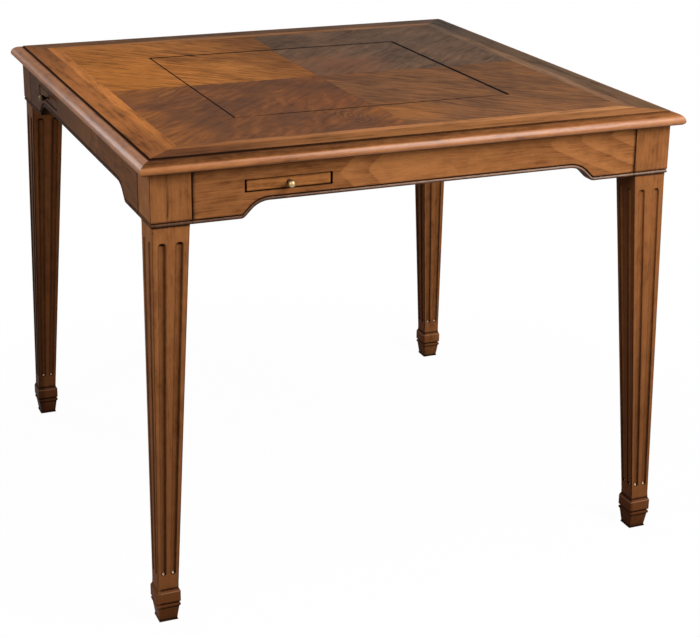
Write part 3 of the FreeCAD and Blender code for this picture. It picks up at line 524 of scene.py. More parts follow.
def knob_shell():
    """The front slide's knob, turned about the pull's axis: rosette, waisted stem with a ring, and ball."""
    ball = np.linspace(math.radians(156), math.radians(3), 26)
    stem = eased([
        (1.0, 0, 0, 1), (4.6, 0, 0.2, 1), (4.6, 0.9, 0.4, 0.8), (3.3, 1.3, 0.3, 1), (2.2, 2.6, 0.9, 0.8),
        (2.2, 3.4, 0.3, 1), (3.1, 3.6, 0.4, 0.6), (3.1, 4.6, 0.4, 0.6), (2.3, 4.9, 0.2, 1), (2.4, 5.6, 0, 1),
    ])
    # Marks: tarnish in the hollows, and painted shade on the stem, the rosette and the ball's underside
    ball_mark = np.interp(np.degrees(ball), [3, 60, 100, 140], [0, 0.1, 0.3, 1])
    sphere = np.column_stack([KNOB_RADIUS * np.sin(ball), KNOB_REACH + KNOB_RADIUS * np.cos(ball), ball_mark])
    radius, reach, mark = np.concatenate([stem, sphere]).T[:, :, None]
    turn = np.linspace(0, 2 * math.pi, 48, endpoint=False)
    middle_x, _, middle_z = (knob_low + knob_high) / 2
    rings = stacked(middle_x + radius * np.cos(turn), tray_low[1] - reach, middle_z + radius * np.sin(turn))
    return *skin(rings), np.repeat(mark, len(turn))


# Finishes. Colours are screen colours, 0 to 255.

# Stains: light, middle and dark
WARM_WALNUT = ((172, 111, 64), (151, 96, 55), (112, 66, 36))
MOULDING_WALNUT = ((186, 120, 68), (166, 104, 58), (124, 72, 38))
TRAY_WALNUT = ((192, 124, 66), (163, 104, 57), (116, 69, 38))
WELL_WALNUT = ((120, 74, 42), (100, 60, 34), (72, 42, 25))
# Near black: painted shade for the panel's edges down in its gap
PANEL_EDGE_SHADE = ((34, 20, 14), (24, 14, 10), (16, 10, 8))
BARE_WOOD = ((200, 164, 112), (184, 146, 96), (156, 118, 74))
DARK_BOARD = ((96, 58, 36), (78, 45, 28), (52, 30, 20))
PALE_BOARD = ((214, 176, 116), (198, 158, 98), (172, 128, 74))

# Painted shade for the sides in shade, and the colour of dark glaze and painted shade where marked
PAINTED_SHADE_TONE = (52, 32, 22)
GLAZE_AND_SHADE = (30, 16, 11)

# Tints of the bands round the top, from the left to the right or from the front to the back of each side
# The greyer tints on the right and the back are painted sheen as well as the veneer's colour.
BORDER_TINTS_AND_SHEEN = {
    "left": ((146, 89, 49), (181, 112, 60), (136, 85, 48)),
    "front": ((106, 63, 37), (155, 100, 56), (160, 105, 62)),
    "right": ((108, 79, 56), (112, 87, 67), (92, 78, 69)),
    "back": ((117, 80, 52), (113, 82, 61), (118, 91, 75)),
}
INLAY_TINTS_AND_SHEEN = {
    "left": ((156, 96, 50), (210, 132, 68), (188, 117, 61)),
    "front": ((136, 85, 48), (180, 119, 73), (180, 124, 78)),
    "right": ((132, 93, 66), (146, 110, 83), (112, 91, 77)),
    "back": ((184, 114, 58), (168, 113, 70), (152, 110, 83)),
}

# Places where the quartered veneer changes colour: x and y of the middle, reach and strength. The lens lies
# in slanted coordinates of its own.
GOLD_PLACES = [(-400, 150, 280, 0.55), (-372, -185, 48, 0.45), (25, -285, 90, 0.3),
               (-390, -320, 120, 0.22)]
RED_PLACES = [(-58, -174, 90, 0.2), (40, 60, 130, 0.25)]
GLOW_PLACES = [(50, 45, 160, 0.5)]
SHADE_PLACES = [(-20, 330, 240, 0.18)]
PALE_SHEEN_PLACES = [(350, 250, 200, 0.3)]
LENS_PLACES = [(0, 0, 10, 1)]

# Tongues of the aprons' flame figure: tip along the board, its drop below the top, slope, radius and reach
TONGUES = [
    (-140, 26, 1, 3, 45),
    (-96, 27, 1.1, 3, 420),
    (217, 14.5, 2.4, 10, 60),
    (271, 10.5, 2.3, 9, 55),
    (327, 8, 2.6, 8, 50),
]


def stain(red, green, blue):
    """Linear colour of a screen colour."""
    level = np.array([red, green, blue]) / 255
    linear = np.where(level <= 0.04045, level / 12.92, ((level + 0.055) / 1.055) ** 2.4)
    return (*linear.tolist(), 1)


def found(sockets, key):
    """A node's socket by its number, its identifier or its name."""
    if isinstance(key, int):
        return sockets[key]
    return next((socket for socket in sockets if socket.identifier == key), None) or sockets[key]


class Wire:
    """An output of a shader node. Sums, products and the like of wires and numbers add Math nodes."""

    def __init__(self, tree, socket):
        self.tree = tree
        self.socket = socket

    def node(self, kind, inputs, output=0, **settings):
        """Any other shader node, from the values or wires of its sockets and its settings."""
        made = self.tree.nodes.new("ShaderNode" + kind)
        for key, value in settings.items():
            setattr(made, key, value)
        for key, value in inputs.items():
            socket = found(made.inputs, key)
            if isinstance(value, Wire):
                self.tree.links.new(value.socket, socket)
            else:
                socket.default_value = value
        return Wire(self.tree, found(made.outputs, output))

    def worked(self, operation, *others):
        """Math node of this and other values."""
        return self.node("Math", dict(enumerate((self, *others))), operation=operation)

    def __rsub__(self, other):
        return self.node("Math", {0: other, 1: self}, operation="SUBTRACT")

    __add__ = __radd__ = partialmethod(worked, "ADD")
    __mul__ = __rmul__ = partialmethod(worked, "MULTIPLY")
    __sub__ = partialmethod(worked, "SUBTRACT")
    __truediv__ = partialmethod(worked, "DIVIDE")
    size = partialmethod(worked, "ABSOLUTE")
    root = partialmethod(worked, "SQRT")
    sine = partialmethod(worked, "SINE")
    floor = partialmethod(worked, "FLOOR")
    above = partialmethod(worked, "GREATER_THAN")
    larger = partialmethod(worked, "MAXIMUM")
    smaller = partialmethod(worked, "MINIMUM")

    def ramp(self, low, high, to_low=0, to_high=1):
        """Smooth step from to_low to to_high as this goes from low to high."""
        inputs = {"Value": self, "From Min": low, "From Max": high, "To Min": to_low, "To Max": to_high}
        return self.node("MapRange", inputs, interpolation_type="SMOOTHSTEP")

    def fade(self, low, high):
        """Smooth step from 1 to 0 as this goes from low to high."""
        return self.ramp(low, high, 1, 0)

    def blend(self, first, second):
        """Colour from first to second as this goes from 0 to 1. A tuple is a screen colour."""
        first, second = (stain(*side) if isinstance(side, tuple) else side for side in (first, second))
        inputs = {"Factor_Float": self, "A_Color": first, "B_Color": second}
        return self.node("Mix", inputs, "Result_Color", data_type="RGBA")

    def scaled(self, share):
        """This colour or vector times a number."""
        return self.node("VectorMath", {"Vector": self, "Scale": share}, operation="SCALE")


def cells(place, sizes, detail=2, roughness=0.55):
    """Noise about 0.5 on average, with cells of the given sizes along three coordinates."""
    x, y, z = (wire / size for wire, size in zip(place, sizes))
    vector = x.node("CombineXYZ", {0: x, 1: y, 2: z})
    return vector.node("TexNoise", {"Vector": vector, "Scale": 1, "Detail": detail, "Roughness": roughness})


# Finishes by name, as they are made
finishes = {}


def new_finish(name, **constants):
    """Start a finish. Returns its shader, and x, y and z in millimetres."""
    finish = finishes[name] = bpy.data.materials.new(name)
    finish.use_nodes = True
    tree = finish.node_tree
    shader = tree.nodes["Principled BSDF"]
    for key, value in constants.items():
        shader.inputs[key.replace("_", " ")].default_value = value
    place = Wire(tree, tree.nodes.new("ShaderNodeTexCoord").outputs["Object"]).scaled(1 / MM)
    return shader, [place.node("SeparateXYZ", {0: place}, axis) for axis in range(3)]


def feed(shader, name, wire):
    """Link a wire to one of the shader's sockets."""
    wire.tree.links.new(wire.socket, shader.inputs[name])


def glaze_and_shade_mark(wire):
    """The piece's own mark of where dark glaze gathers and where shade is painted."""
    return wire.node("Attribute", {}, "Fac", attribute_name="glaze_and_shade")


# Grain directions: along the fibres, and two ways across them

def side_grain(x, y, z):
    """Fibres run along each side of the table."""
    on_end = x.size().above(y.size())
    along = on_end * y + (1 - on_end) * x
    depth = on_end * x + (1 - on_end) * y
    return along, z, depth


def radial_grain(x, y, z):
    """Fibres run from the middle to each corner, with another sheet in each quarter."""
    diagonal = 1 / math.sqrt(2)
    along = (x.size() + y.size()) * diagonal
    across = (x.size() - y.size()) * diagonal
    sheet = x.above(0) * 310 + y.above(0) * 170
    return along, across, sheet + z


class Grain:
    """Wood figure from coordinates along and across the fibres, in millimetres. Noise is stretched along the
    fibres: streaks, a fine fibre and short dark pores, over a mottle and a blotch that the stain leaves."""

    def __init__(self, along, across, depth, streak=6, length=110, warp=8):
        straight = (along, across, depth)
        self.along = along
        self.across = across + (cells(straight, (130, 70, 70), 1) - 0.5) * warp
        self.depth = depth
        self.streak = self.cells((length, streak, streak), 4, 0.62)
        self.fibre = self.cells((20, 0.8, 0.8), 2, 0.6)
        self.pores = self.cells((6, 0.5, 0.5), 1).ramp(0.60, 0.70)
        self.mottle = cells(straight, (26, 15, 15), 3, 0.6)
        self.blotch = cells(straight, (120, 75, 75))

    def cells(self, sizes, *detail):
        """Noise with cells of the given sizes along and across the fibres."""
        return cells((self.along, self.across, self.depth), sizes, *detail)

    def tone(self, streak=0.5, mottle=0.3, blotch=0.2):
        """Shade of the wood from 0, dark, to 1, light, as a weighted mean of its figure."""
        total = self.streak * streak + self.mottle * mottle + self.blotch * blotch
        return total / (streak + mottle + blotch)

    def colour(self, tone, stains):
        """Stain from dark to light with the tone, varied by the fibre and the pores."""
        light, middle, dark = stains
        colour = tone.ramp(0.38, 0.51).blend(dark, middle)
        colour = tone.ramp(0.49, 0.62).blend(colour, light)
        colour = colour.scaled(self.fibre.ramp(0.25, 0.75, 0.86, 1.10))
        return (self.pores * 0.40).blend(colour, dark)


def flame(grain, height):
    """Flame figure of a flat-sawn board, 0 to 1: pale tongues that start at a tip and open along a hyperbola,
    slope * (sqrt(off^2 + radius^2) - radius) from the tip. Each is palest along its edge and fades inside."""
    wander = cells((grain.along, height, grain.depth), (45, 16, 40)) - 0.5
    figure = None
    for tip, drop, slope, radius, reach in TONGUES:
        off = height - (UNDERSIDE - drop)
        opening = ((off * off + radius ** 2).root() - radius) * slope
        inside = grain.along - tip - opening + wander * 12
        tongue = inside.ramp(-2, 2) * inside.fade(2, reach)
        figure = figure.larger(tongue) if figure else tongue
    return figure


def finish_wood(shader, grain, colour, glaze_and_shade=None, gloss=0.36):
    """Put colour, roughness and fine relief of lacquered wood on a shader, with dark glaze and painted shade
    where marked.
    """
    rough = grain.fibre.ramp(0.2, 0.8, gloss - 0.05, gloss + 0.07)
    relief = grain.fibre * 0.6 - grain.pores
    if glaze_and_shade is not None:
        broken = grain.cells((14, 5, 5)).ramp(0.2, 0.7, 0.88, 1.08)
        cover = (glaze_and_shade * broken).ramp(0.08, 0.95)
        colour = (cover * 0.94).blend(colour, GLAZE_AND_SHADE)
        rough = rough + cover * 0.12
    feed(shader, "Base Color", colour)
    feed(shader, "Roughness", rough)
    normal = relief.node("Bump", {"Strength": 0.25, "Distance": 0.06 * MM, "Height": relief})
    feed(shader, "Normal", normal)


def plain_wood(name, stains, gloss=0.36, specular=0.25, along_sides=True):
    """Wood of one stain, with its fibres along each side of the table or all along x."""
    shader, place = new_finish(name, Specular_IOR_Level=specular)
    grain = Grain(*(side_grain(*place) if along_sides else place))
    finish_wood(shader, grain, grain.colour(grain.tone(), stains), gloss=gloss)


def finish_beaded(shader, grain, colour, x, glaze_and_shade):
    """Finish of the wood that has beads, whose marks are above 1. Their round face gets a pale painted
    highlight, stronger towards the right, and its lacquer shines but for the left side."""
    bead = glaze_and_shade.ramp(1.05, 1.35)
    # Painted highlight on the beads, paler towards the right
    painted_highlight = bead * x.ramp(-430, 250, 0.1, 0.42)
    colour = painted_highlight.blend(colour, (204, 178, 160))
    finish_wood(shader, grain, colour, glaze_and_shade.smaller(1) - bead * 0.3 - painted_highlight * 0.5)
    feed(shader, "Coat Weight", bead * x.ramp(-434, -425, 0, 0.3))


def leg_wood(stains):
    """Lacquered wood of the legs, with its fibres upright. Painted shade darkens it towards the foot, on the
    inner side of the right legs, on the back-left leg and most of all on the outside of its post. A dark
    mineral streak runs down the front of the near post. Painted light thins the glaze and painted shade high
    up the right legs and on the near leg's left side. Marks below 0 are painted highlights, pale."""
    shader, (x, y, z) = new_finish("leg_walnut", Specular_IOR_Level=0.003)
    grain = Grain(z, x, y, streak=4, length=120)
    colour = grain.colour(grain.tone(0.35, 0.4, 0.25) * 0.6 + 0.2, stains)
    right = x.above(0)
    back = y.above(0)
    # Painted shade: darker down the leg and on the foot, least on the back-right leg
    painted_shade = z.ramp(60, 640, 0.6, 0) + z.ramp(54, 58, 0.35, 0)
    colour = (painted_shade * (1 - right * back * 0.85)).blend(colour, stains[-1])

    up = z - FOOT_HEIGHT
    shaft = POST_BOTTOM - FOOT_HEIGHT
    inner_foot = FOOT_CENTRE - SHAFT_BOTTOM / 2
    outer_foot = FOOT_CENTRE + SHAFT_BOTTOM / 2
    inner_slope = (POST_CENTRE - SHAFT_TOP / 2 - inner_foot) / shaft
    outer_slope = (POST_CENTRE + SHAFT_TOP / 2 - outer_foot) / shaft
    # Painted shade, redder: the inner side of the right legs and the whole back-left leg
    inner_side = (x - inner_foot - up * inner_slope).fade(0.8, 2.2) * right
    colour = (inner_side * 0.6 + (1 - right) * back * 0.3).blend(colour, (74, 36, 25))
    # Painted shade on the outside of the back-left post
    in_shade = x.fade(-POST_OUT - 1, -POST_OUT + 6) * y.ramp(0, POST_IN, 0, 0.6)
    colour = in_shade.blend(colour, PAINTED_SHADE_TONE)
    mineral = (x + 408.5 + grain.mottle * 5).size().fade(0.5, 3)
    mineral = mineral * y.fade(-POST_OUT, -POST_OUT + 2) * z.ramp(650, 665)
    colour = (mineral * z.ramp(665, 715, 0.75, 0.2)).blend(colour, (66, 40, 23))

    # Painted light: less glaze and painted shade high up the right legs and on the near leg's left side
    left_side = (0 - x - outer_foot - up * outer_slope).ramp(-4, -3, 0, 0.45)
    painted_light = (right * z.ramp(250, 600, 0, 0.4)).larger(left_side * (1 - back))
    glaze_and_shade = glaze_and_shade_mark(x) * (1 - painted_light * (1 - z.above(POST_BOTTOM - 10)))
    # Painted highlight where the mark is below 0
    colour = (0 - glaze_and_shade).ramp(0.1, 1).blend(colour, (216, 186, 160))
    finish_beaded(shader, grain, colour, x, glaze_and_shade)


def apron_wood(name, stains):
    """Lacquered wood of the aprons and slides, with flame figure in the boards. The left side is darkened
    with painted shade, most of all towards the back."""
    shader, (x, y, z) = new_finish(name, Specular_IOR_Level=0.003)
    grain = Grain(*side_grain(x, y, z), streak=3, length=70, warp=12)
    tone = grain.tone(0.5, 0.38, 0.12) * 0.58 + 0.19 + flame(grain, z) * 0.12
    # Painted shade on the left side, stronger towards the back
    painted_shade = x.fade(-POST_OUT, -APRON_IN) * y.ramp(-POST_IN, POST_IN, 0.45, 0.85)
    colour = painted_shade.blend(grain.colour(tone, stains), PAINTED_SHADE_TONE)
    finish_beaded(shader, grain, colour, x, glaze_and_shade_mark(x))


def moulding_wood(stains):
    """Lacquered wood of the edge moulding. The lacquer shines on the nose and is dull under the glaze and the
    painted shade. It shines more towards the right of the front, and less towards the back of the other
    sides."""
    shader, (x, y, z) = new_finish("moulding_walnut", Specular_IOR_Level=0.01, Coat_Roughness=0.28)
    grain = Grain(*side_grain(x, y, z), streak=5, length=90)
    glaze_and_shade = glaze_and_shade_mark(x)
    finish_wood(shader, grain, grain.colour(grain.tone() * 0.7 + 0.15, stains), glaze_and_shade)
    on_front = y.fade(-445, -432)
    front_shine = x.ramp(-450, 100, 0.32, 0.76)
    side_shine = y.ramp(-430, 250, 0.36, 0.12)
    shine = on_front * front_shine + (1 - on_front) * side_shine
    feed(shader, "Coat Weight", glaze_and_shade.fade(0.05, 0.5) * shine)


def side_tint(x, y, tints):
    """Colour of a band round the top. Each side has three tints along its length, and the sides meet in
    mitres."""
    def along(place, first, second, third):
        begun = place.ramp(-450, -50).blend(first, second)
        return place.ramp(50, 450).blend(begun, third)

    ends = x.above(0).blend(along(y, *tints["left"]), along(y, *tints["right"]))
    fronts = y.above(0).blend(along(x, *tints["front"]), along(x, *tints["back"]))
    return x.size().above(y.size()).blend(fronts, ends)


def band_wood(name, tints, glazed_and_shaded=False):
    """Veneer band around the top, with the stain of each side and painted sheen towards the right and back.
    """
    shader, (x, y, z) = new_finish(name, Specular_IOR_Level=0.002)
    grain = Grain(*side_grain(x, y, z), streak=9, length=120)
    middle = side_tint(x, y, tints)
    stains = (middle.scaled(1.22), middle, middle.scaled(0.5))
    colour = grain.colour(grain.tone(0.55, 0.15, 0.3) * 1.05 - 0.015, stains)
    finish_wood(shader, grain, colour, glaze_and_shade_mark(x) if glazed_and_shaded else None, gloss=0.42)


def patches(x, y, places):
    """Sum of round places, each of its strength in the middle and 0 from its reach on."""
    total = 0
    for middle_x, middle_y, reach, strength in places:
        off_x = (x - middle_x) / reach
        off_y = (y - middle_y) / reach
        total = total + (off_x * off_x + off_y * off_y).fade(0, 1) * strength
    return total


def gap_shade(x, y, middle, half):
    """Painted shade in the gap, 0 to 1, along the edges of a square about a middle that parts the loose panel
    from the field. It is wider at the right and at the back, and fainter at both ends of the front."""
    off_x = (x - middle[0]).size() - half
    off_y = (y - middle[1]).size() - half
    wide_x = x.above(0) * 1.3 + 1.4
    wide_y = y.above(0) * 1.6 + 1.5
    faint = 1 - x.size().ramp(150, 235, 0, 0.6) * (0 - y).above(0)
    line_x = (off_x.size() / wide_x).fade(0.5, 1.1) * (1 - off_y.above(2))
    line_y = (off_y.size() / wide_y).fade(0.5, 1.1) * (1 - off_x.above(1)) * faint
    return line_x.larger(line_y)


def quarter_wood(name, seam, middle, half):
    """Quartered veneer. Each quarter has its own stain; the right side is greyer, partly with painted sheen.
    The front-left quarter has a feathered figure that plumes away from its diagonal, a faint eddy of rings
    and a pale lens. Places of other colours are broken up along the grain. Thin dark joints part the
    quarters."""
    shader, (x, y, z) = new_finish(name, Specular_IOR_Level=0.002)
    gap = gap_shade(x, y, middle, half)
    gold, red, shade, pale = (patches(x, y, places)
                              for places in (GOLD_PLACES, RED_PLACES, SHADE_PLACES, PALE_SHEEN_PLACES))
    glow = patches(x, y, GLOW_PLACES) * y.above(0)
    lens = patches((x + y) * 0.2 + 67.8, x - y + 249, LENS_PLACES)
    swirl_x = (x + 62) / 1.2
    swirl_y = (y + 292) / 2.6
    swirl = (swirl_x * swirl_x + swirl_y * swirl_y).root()

    x = x - seam[0]
    y = y - seam[1]
    right = x.above(0)
    back = y.above(0)
    shade = shade + x.ramp(-170, 0) * back * (1 - right) * 0.52
    grain = Grain(*radial_grain(x, y, z), streak=10, length=120, warp=26)
    fine = grain.cells((60, 4, 4), 3, 0.6)
    streaky = (grain.tone(0.5, 0.2, 0.3) * 0.6 + fine * 0.4) * 1.6 - 0.3
    calm = grain.tone(0.4, 0.25, 0.35) * 0.8 + 0.1
    plume_side = grain.across.size()
    wander = cells((grain.along, plume_side, grain.depth), (40, 22, 1)) - 0.5
    plume = ((plume_side * 1.1 - grain.along * 0.55 + wander * 60) / 5).sine()
    swirl = swirl + wander * 14
    eddy = (swirl * 0.9).sine() * swirl.fade(14, 34)
    feathered = calm + plume * grain.blotch.ramp(0.40, 0.60, 0, 0.04) + eddy * 0.08
    ragged = grain.streak.ramp(0.35, 0.65, 0.4, 1.2)

    front_left = grain.colour(feathered, ((143, 90, 55), (121, 77, 50), (95, 60, 42)))
    front_left = grain.blotch.ramp(0.40, 0.53, 0.4, 0).blend(front_left, (98, 68, 53))
    front_left = lens.ramp(0.1, 0.5, 0, 0.45).blend(front_left, (172, 113, 68))
    front_right = grain.colour(streaky, ((152, 101, 63), (128, 86, 57), (98, 68, 49)))
    back_left = grain.colour(streaky, ((214, 137, 68), (180, 113, 57), (120, 74, 38)))
    # Veneer colour with painted sheen: the greyer back-right quarter and its pale patches
    back_right = grain.colour(calm * 1.2 - 0.1, ((140, 105, 80), (111, 86, 68), (86, 66, 54)))
    back_right = (pale * ragged).blend(back_right, (134, 106, 88))
    back_right = (glow * ragged).blend(back_right, (140, 97, 71))
    colour = back.blend(right.blend(front_left, front_right), right.blend(back_left, back_right))
    for place, tint in ((shade, (84, 54, 36)), (red, (146, 78, 46)), (gold, (204, 124, 50))):
        colour = (place * ragged).blend(colour, tint)
    flecks = grain.cells((20, 4.5, 4.5)).ramp(0.56, 0.68)
    colour = (flecks * 0.22).blend(colour, (62, 38, 26))
    joint = x.size().smaller(y.size()).ramp(0.15, 0.5, 0.5, 0)
    colour = joint.blend(colour, (40, 22, 14))
    # Painted shade in the gap round the loose panel
    finish_wood(shader, grain, gap.blend(colour, (10, 7, 6)), gloss=0.42)


def steel_finish():
    """Zinc-plated steel with a faint mottle."""
    shader, place = new_finish("zinc_plate", Metallic=1)
    mottle = cells(place, (3, 3, 3), 3)
    feed(shader, "Base Color", mottle.ramp(0.3, 0.7).blend((150, 150, 146), (190, 190, 184)))
    feed(shader, "Roughness", mottle.ramp(0.3, 0.7, 0.28, 0.45))


def brass_finish():
    """Antique brass: bright where it is handled, brown in the hollows, with painted shade on the left,
    speckled.
    """
    shader, place = new_finish("antique_brass", Metallic=1)
    x = place[0]
    speckle = cells(place, (1.2, 1.2, 1.2), 3).ramp(0.55, 0.8, 0, 0.5)
    # Tarnish in the hollows, and painted shade on the left side's knob
    tarnish_and_shade = (glaze_and_shade_mark(x) + speckle + x.ramp(-440, -430, 0.7, 0)).ramp(0.1, 1)
    feed(shader, "Base Color", tarnish_and_shade.blend((178, 154, 110), (44, 30, 18)))
    feed(shader, "Roughness", tarnish_and_shade.ramp(0, 1, 0.42, 0.58))


def nylon_finish():
    """Dark moulded nylon with a fine scuff."""
    shader, place = new_finish("glide_nylon")
    scuff = cells(place, (6, 0.8, 2))
    feed(shader, "Base Color", scuff.ramp(0.4, 0.8).blend((40, 34, 30), (70, 62, 56)))
    feed(shader, "Roughness", scuff.ramp(0.3, 0.8, 0.45, 0.65))


def rail_finish():
    """Sanded core wood of the top's rails, with painted shade on the edges that show in the gaps."""
    shader, (x, y, z) = new_finish("rail_core", Specular_IOR_Level=0.2)
    grain = Grain(*side_grain(x, y, z))
    reach = x.size().larger(y.size())
    inner = reach.fade(HALF_OPENING + 0.3, HALF_OPENING + 0.6)
    outer = reach.ramp(FLAT_EDGE - 0.6, FLAT_EDGE - 0.3)
    colour = inner.larger(outer).blend(grain.colour(grain.tone(), BARE_WOOD), (16, 10, 8))
    finish_wood(shader, grain, colour, gloss=0.55)


def chequer_wood(name, size, start, stains):
    """Veneer cut into tiles of a size along x and y, each from its own place in the sheet."""
    shader, (x, y, z) = new_finish(name, Specular_IOR_Level=0.15)
    column = ((x - start[0]) / size[0]).floor()
    row = ((y - start[1]) / size[1]).floor()
    grain = Grain(x + row * 137, y + column * 53, z + column * 71 + row * 29, length=150)
    finish_wood(shader, grain, grain.colour(grain.tone(), stains), gloss=0.42)


def make_finishes():
    """Make every finish."""
    leg_wood(WARM_WALNUT)
    apron_wood("apron_walnut", WARM_WALNUT)
    apron_wood("tray_walnut", TRAY_WALNUT)
    moulding_wood(MOULDING_WALNUT)
    band_wood("border_band", BORDER_TINTS_AND_SHEEN, glazed_and_shaded=True)
    band_wood("inlay_gold", INLAY_TINTS_AND_SHEEN)
    panel_middle = (panel_low + panel_high)[:2] / 2
    half_panel = (panel_high[0] - panel_low[0]) / 2
    quarter_wood("field_quartered", (0, 0), (0, 0), HALF_OPENING)
    quarter_wood("panel_quartered", panel_middle + PANEL_SEAM, panel_middle, half_panel)
    plain_wood("panel_edge_shade", PANEL_EDGE_SHADE)
    plain_wood("core_poplar", BARE_WOOD, gloss=0.6, specular=0.2)
    plain_wood("well_walnut", WELL_WALNUT, gloss=0.45, along_sides=False)
    rail_finish()
    square = (chess_high[0] - chess_low[0]) / CHESS_COUNT
    point = (bar_low[0] - points_low[0]) / POINTS_PER_SIDE
    for shade, stains in (("dark", DARK_BOARD), ("light", PALE_BOARD)):
        chequer_wood(f"chess_{shade}", (square, square), chess_low, stains)
        chequer_wood(f"point_{shade}", (point, POINT_TILE), bar_low, stains)
    brass_finish()
    steel_finish()
    nylon_finish()


def dress_nodes():
    """Give the CAD nodes that stay their finishes."""
    worn_by = {
        "inlay_gold": ["inlay_band"],
        "field_quartered": [f"field_quarter_{corner}" for corner in CORNERS],
        "panel_quartered": ["panel_quarters"],
        "panel_edge_shade": ["panel_core"],
        "border_band": ["chess_border"],
        "chess_light": ["chess_squares_light"],
        "chess_dark": ["chess_squares_dark"],
        "point_light": ["backgammon_points_light"],
        "point_dark": ["backgammon_points_dark", "backgammon_bar"],
        "well_walnut": ["well_floor", *(f"well_wall_{side}" for side in SIDES)],
        "rail_core": [f"top_rail_{side}" for side in SIDES],
        "core_poplar": ["corner_blocks", "slide_runners", *(f"slide_stop_peg_{side}" for side in SIDES)],
        "zinc_plate": ["hanger_bolts", "hanger_washers", "wing_nuts",
                       *(f"{part}_screws" for part in ("block", "top", "runner", "floor"))],
        "glide_nylon": ["floor_glides"],
    }
    for finish, nodes in worn_by.items():
        for node in nodes:
            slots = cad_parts[node].data.materials
            slots.clear()
            slots.append(finishes[finish])


def build_pieces():
    """Make the shaped pieces, once each, and turn them to every corner and side."""
    leg = leg_shell()
    for quarter, corner in enumerate(CORNERS):
        node = f"leg_{corner}"
        make_piece(f"{node}_shaped", quarter, leg, "leg_walnut", "table", "leg_wood", node)
    apron = apron_shell()
    moulding, angles = moulding_section()
    strip = mitred_strip(moulding)
    tray = tray_shell()
    knob = knob_shell()
    for quarter, side in enumerate(SIDES):
        moulded = (*strip, moulding_marks(angles, side))
        slide = f"slide_{side}"
        for form, node, shell, finish, body, slot in [
            ("shaped", "apron", apron, "apron_walnut", "table", "apron_wood"),
            ("shaped", "edge_moulding", moulded, "moulding_walnut", "table", "moulding_wood"),
            ("shaped", "slide_tray", tray, "tray_walnut", slide, "tray_wood"),
            ("turned", "slide_knob", knob, "antique_brass", slide, "knob_brass"),
        ]:
            node = f"{node}_{side}"
            make_piece(f"{node}_{form}", quarter, shell, finish, body, slot, node)
    border, border_mark = border_section()
    band, band_faces = mitred_strip(border)
    points = np.concatenate([turned(band, quarter) for quarter in range(4)])
    faces = [[corner + quarter * len(band) for corner in face] for quarter in range(4) for face in band_faces]
    step = np.concatenate([STEP_SHADOW_FRONT, np.repeat(STEP_SHADOW_OTHERS, STRIP_COLUMNS)])
    shell = (points, faces, np.outer(step, border_mark))
    make_piece("top_border_shaped", 0, shell, "border_band", "table", "border_veneer", "top_border")


# Stage, light and camera

CAMERA_FOCUS = 1622.6
CAMERA_PLACE = (-1.0336, -2.6067, 1.3585)
CAMERA_TURN = (0.3969, 0.3328, 0.0122)
AXIS_ROW = 270.0
IMAGE_SIZE = (700, 637)
SENSOR = 36.0
FLOOR_REACH = 9.0
WORLD_LIGHT = 0.11
WHITE = (1, 1, 1, 1)

# Lamps: place, target, size and power
LAMPS = {
    "key": ((0.95, -1.75, 2.15), (0, -0.2, 0.75), 1.3, 48),
    "front": ((1.3, -2.7, 1.45), (0, -0.2, 0.7), 0.9, 22),
    "fill": ((-1.9, -1.05, 1.6), (-0.3, -0.3, 0.5), 1.0, 17),
    "rim": ((-1.2, 1.6, 1.25), (-0.45, 0, 0.74), 0.8, 10),
    "back": ((0.5, 2.4, 0.37), (0, 0.4, 0.45), 0.7, 26),
}


def set_up(name, data, right, up, back, place):
    """An object for a lamp or camera at a place, from its three axes."""
    item = bpy.data.objects.new(name, data)
    bpy.context.scene.collection.objects.link(item)
    matrix = np.eye(4)
    matrix[:3, :4] = np.column_stack([right, up, back, place])
    item.matrix_world = Matrix(matrix.tolist())
    return item


def make_camera():
    """Camera at the photograph's viewing angle, from its yaw, pitch and roll. Its optical axis meets the
    image at AXIS_ROW."""
    data = bpy.data.cameras.new("camera")
    data.sensor_width = SENSOR
    data.lens = CAMERA_FOCUS / IMAGE_SIZE[0] * SENSOR
    data.shift_y = (AXIS_ROW - IMAGE_SIZE[1] / 2) / IMAGE_SIZE[0]
    yaw, pitch, roll = CAMERA_TURN
    ahead = np.array([math.sin(yaw) * math.cos(pitch), math.cos(yaw) * math.cos(pitch), -math.sin(pitch)])
    level = np.array([math.cos(yaw), -math.sin(yaw), 0.0])
    above = np.cross(level, ahead)
    right = level * math.cos(roll) + above * math.sin(roll)
    up = above * math.cos(roll) - level * math.sin(roll)
    bpy.context.scene.camera = set_up("camera", data, right, up, -ahead, CAMERA_PLACE)


def seen_directly(tree):
    """1 for camera, glossy and transmission rays, and 0 for the rest."""
    rays = tree.nodes.new("ShaderNodeLightPath").outputs
    camera = Wire(tree, rays["Is Camera Ray"])
    return camera.larger(Wire(tree, rays["Is Glossy Ray"])).larger(Wire(tree, rays["Is Transmission Ray"]))


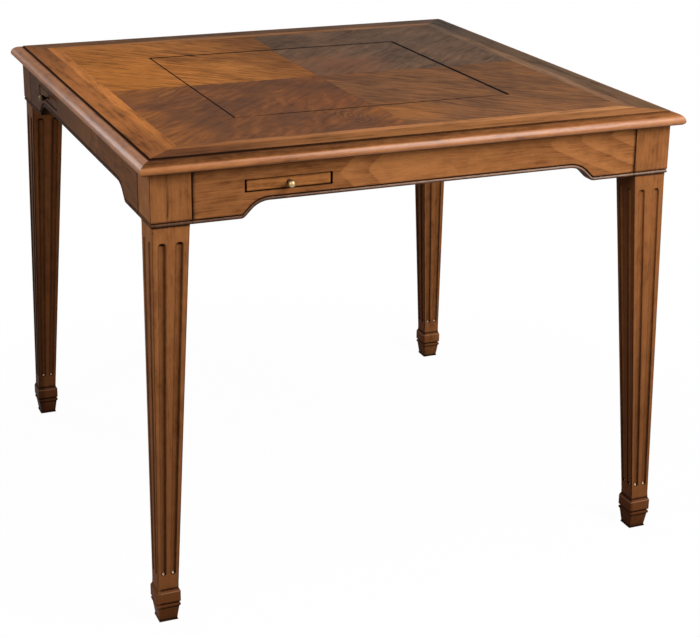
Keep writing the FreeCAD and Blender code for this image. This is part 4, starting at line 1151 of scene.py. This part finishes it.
def make_world():
    """White where it is seen, and a plain grey light elsewhere."""
    world = bpy.data.worlds.new("studio")
    bpy.context.scene.world = world
    world.use_nodes = True
    tree = world.node_tree
    shown = seen_directly(tree)
    white = shown.node("Background", {"Color": WHITE, "Strength": 1.0})
    soft = shown.node("Background", {"Color": WHITE, "Strength": WORLD_LIGHT})
    both = shown.node("MixShader", {0: shown, 1: soft, 2: white})
    tree.links.new(both.socket, tree.nodes["World Output"].inputs["Surface"])


def make_floor():
    """Pale floor. Where it is seen it is white far off, with the table's shadow left in it nearby."""
    mesh = bpy.data.meshes.new("floor")
    corners = [(-1, -1), (1, -1), (1, 1), (-1, 1)]
    mesh.from_pydata([(x * FLOOR_REACH, y * FLOOR_REACH, 0) for x, y in corners], [], [(0, 1, 2, 3)])
    floor = bpy.data.objects.new("floor", mesh)
    bpy.context.scene.collection.objects.link(floor)
    finish = bpy.data.materials.new("pale_floor")
    finish.use_nodes = True
    tree = finish.node_tree
    shown = seen_directly(tree)
    place = Wire(tree, tree.nodes.new("ShaderNodeTexCoord").outputs["Object"])
    away = place.node("VectorMath", {0: place}, "Value", operation="LENGTH")
    matt = shown.node("BsdfDiffuse", {"Color": (0.25, 0.25, 0.25, 1)})
    pale = shown.node("BsdfDiffuse", {"Color": (0.95, 0.95, 0.95, 1)})
    white = shown.node("Emission", {"Color": WHITE, "Strength": 1.0})
    seen = shown.node("MixShader", {0: away.ramp(0.6, 1.1, 0.97, 1.0), 1: pale, 2: white})
    both = shown.node("MixShader", {0: shown, 1: matt, 2: seen})
    tree.links.new(both.socket, tree.nodes["Material Output"].inputs["Surface"])
    mesh.materials.append(finish)


def make_lamp(name, place, target, size, power):
    """Square soft lamp aimed at a target."""
    data = bpy.data.lights.new(name, "AREA")
    data.size = size
    data.energy = power
    back = np.array(place, float) - np.array(target, float)
    back /= np.linalg.norm(back)
    side = np.cross([0, 0, 1], back)
    side /= np.linalg.norm(side)
    set_up(name, data, side, np.cross(back, side), back, place)


make_finishes()
dress_nodes()
build_pieces()
make_camera()
make_world()
make_floor()
for lamp, settings in LAMPS.items():
    make_lamp(lamp, *settings)
bpy.context.scene.view_settings.view_transform = "Standard"

bpy.context.view_layer.update()
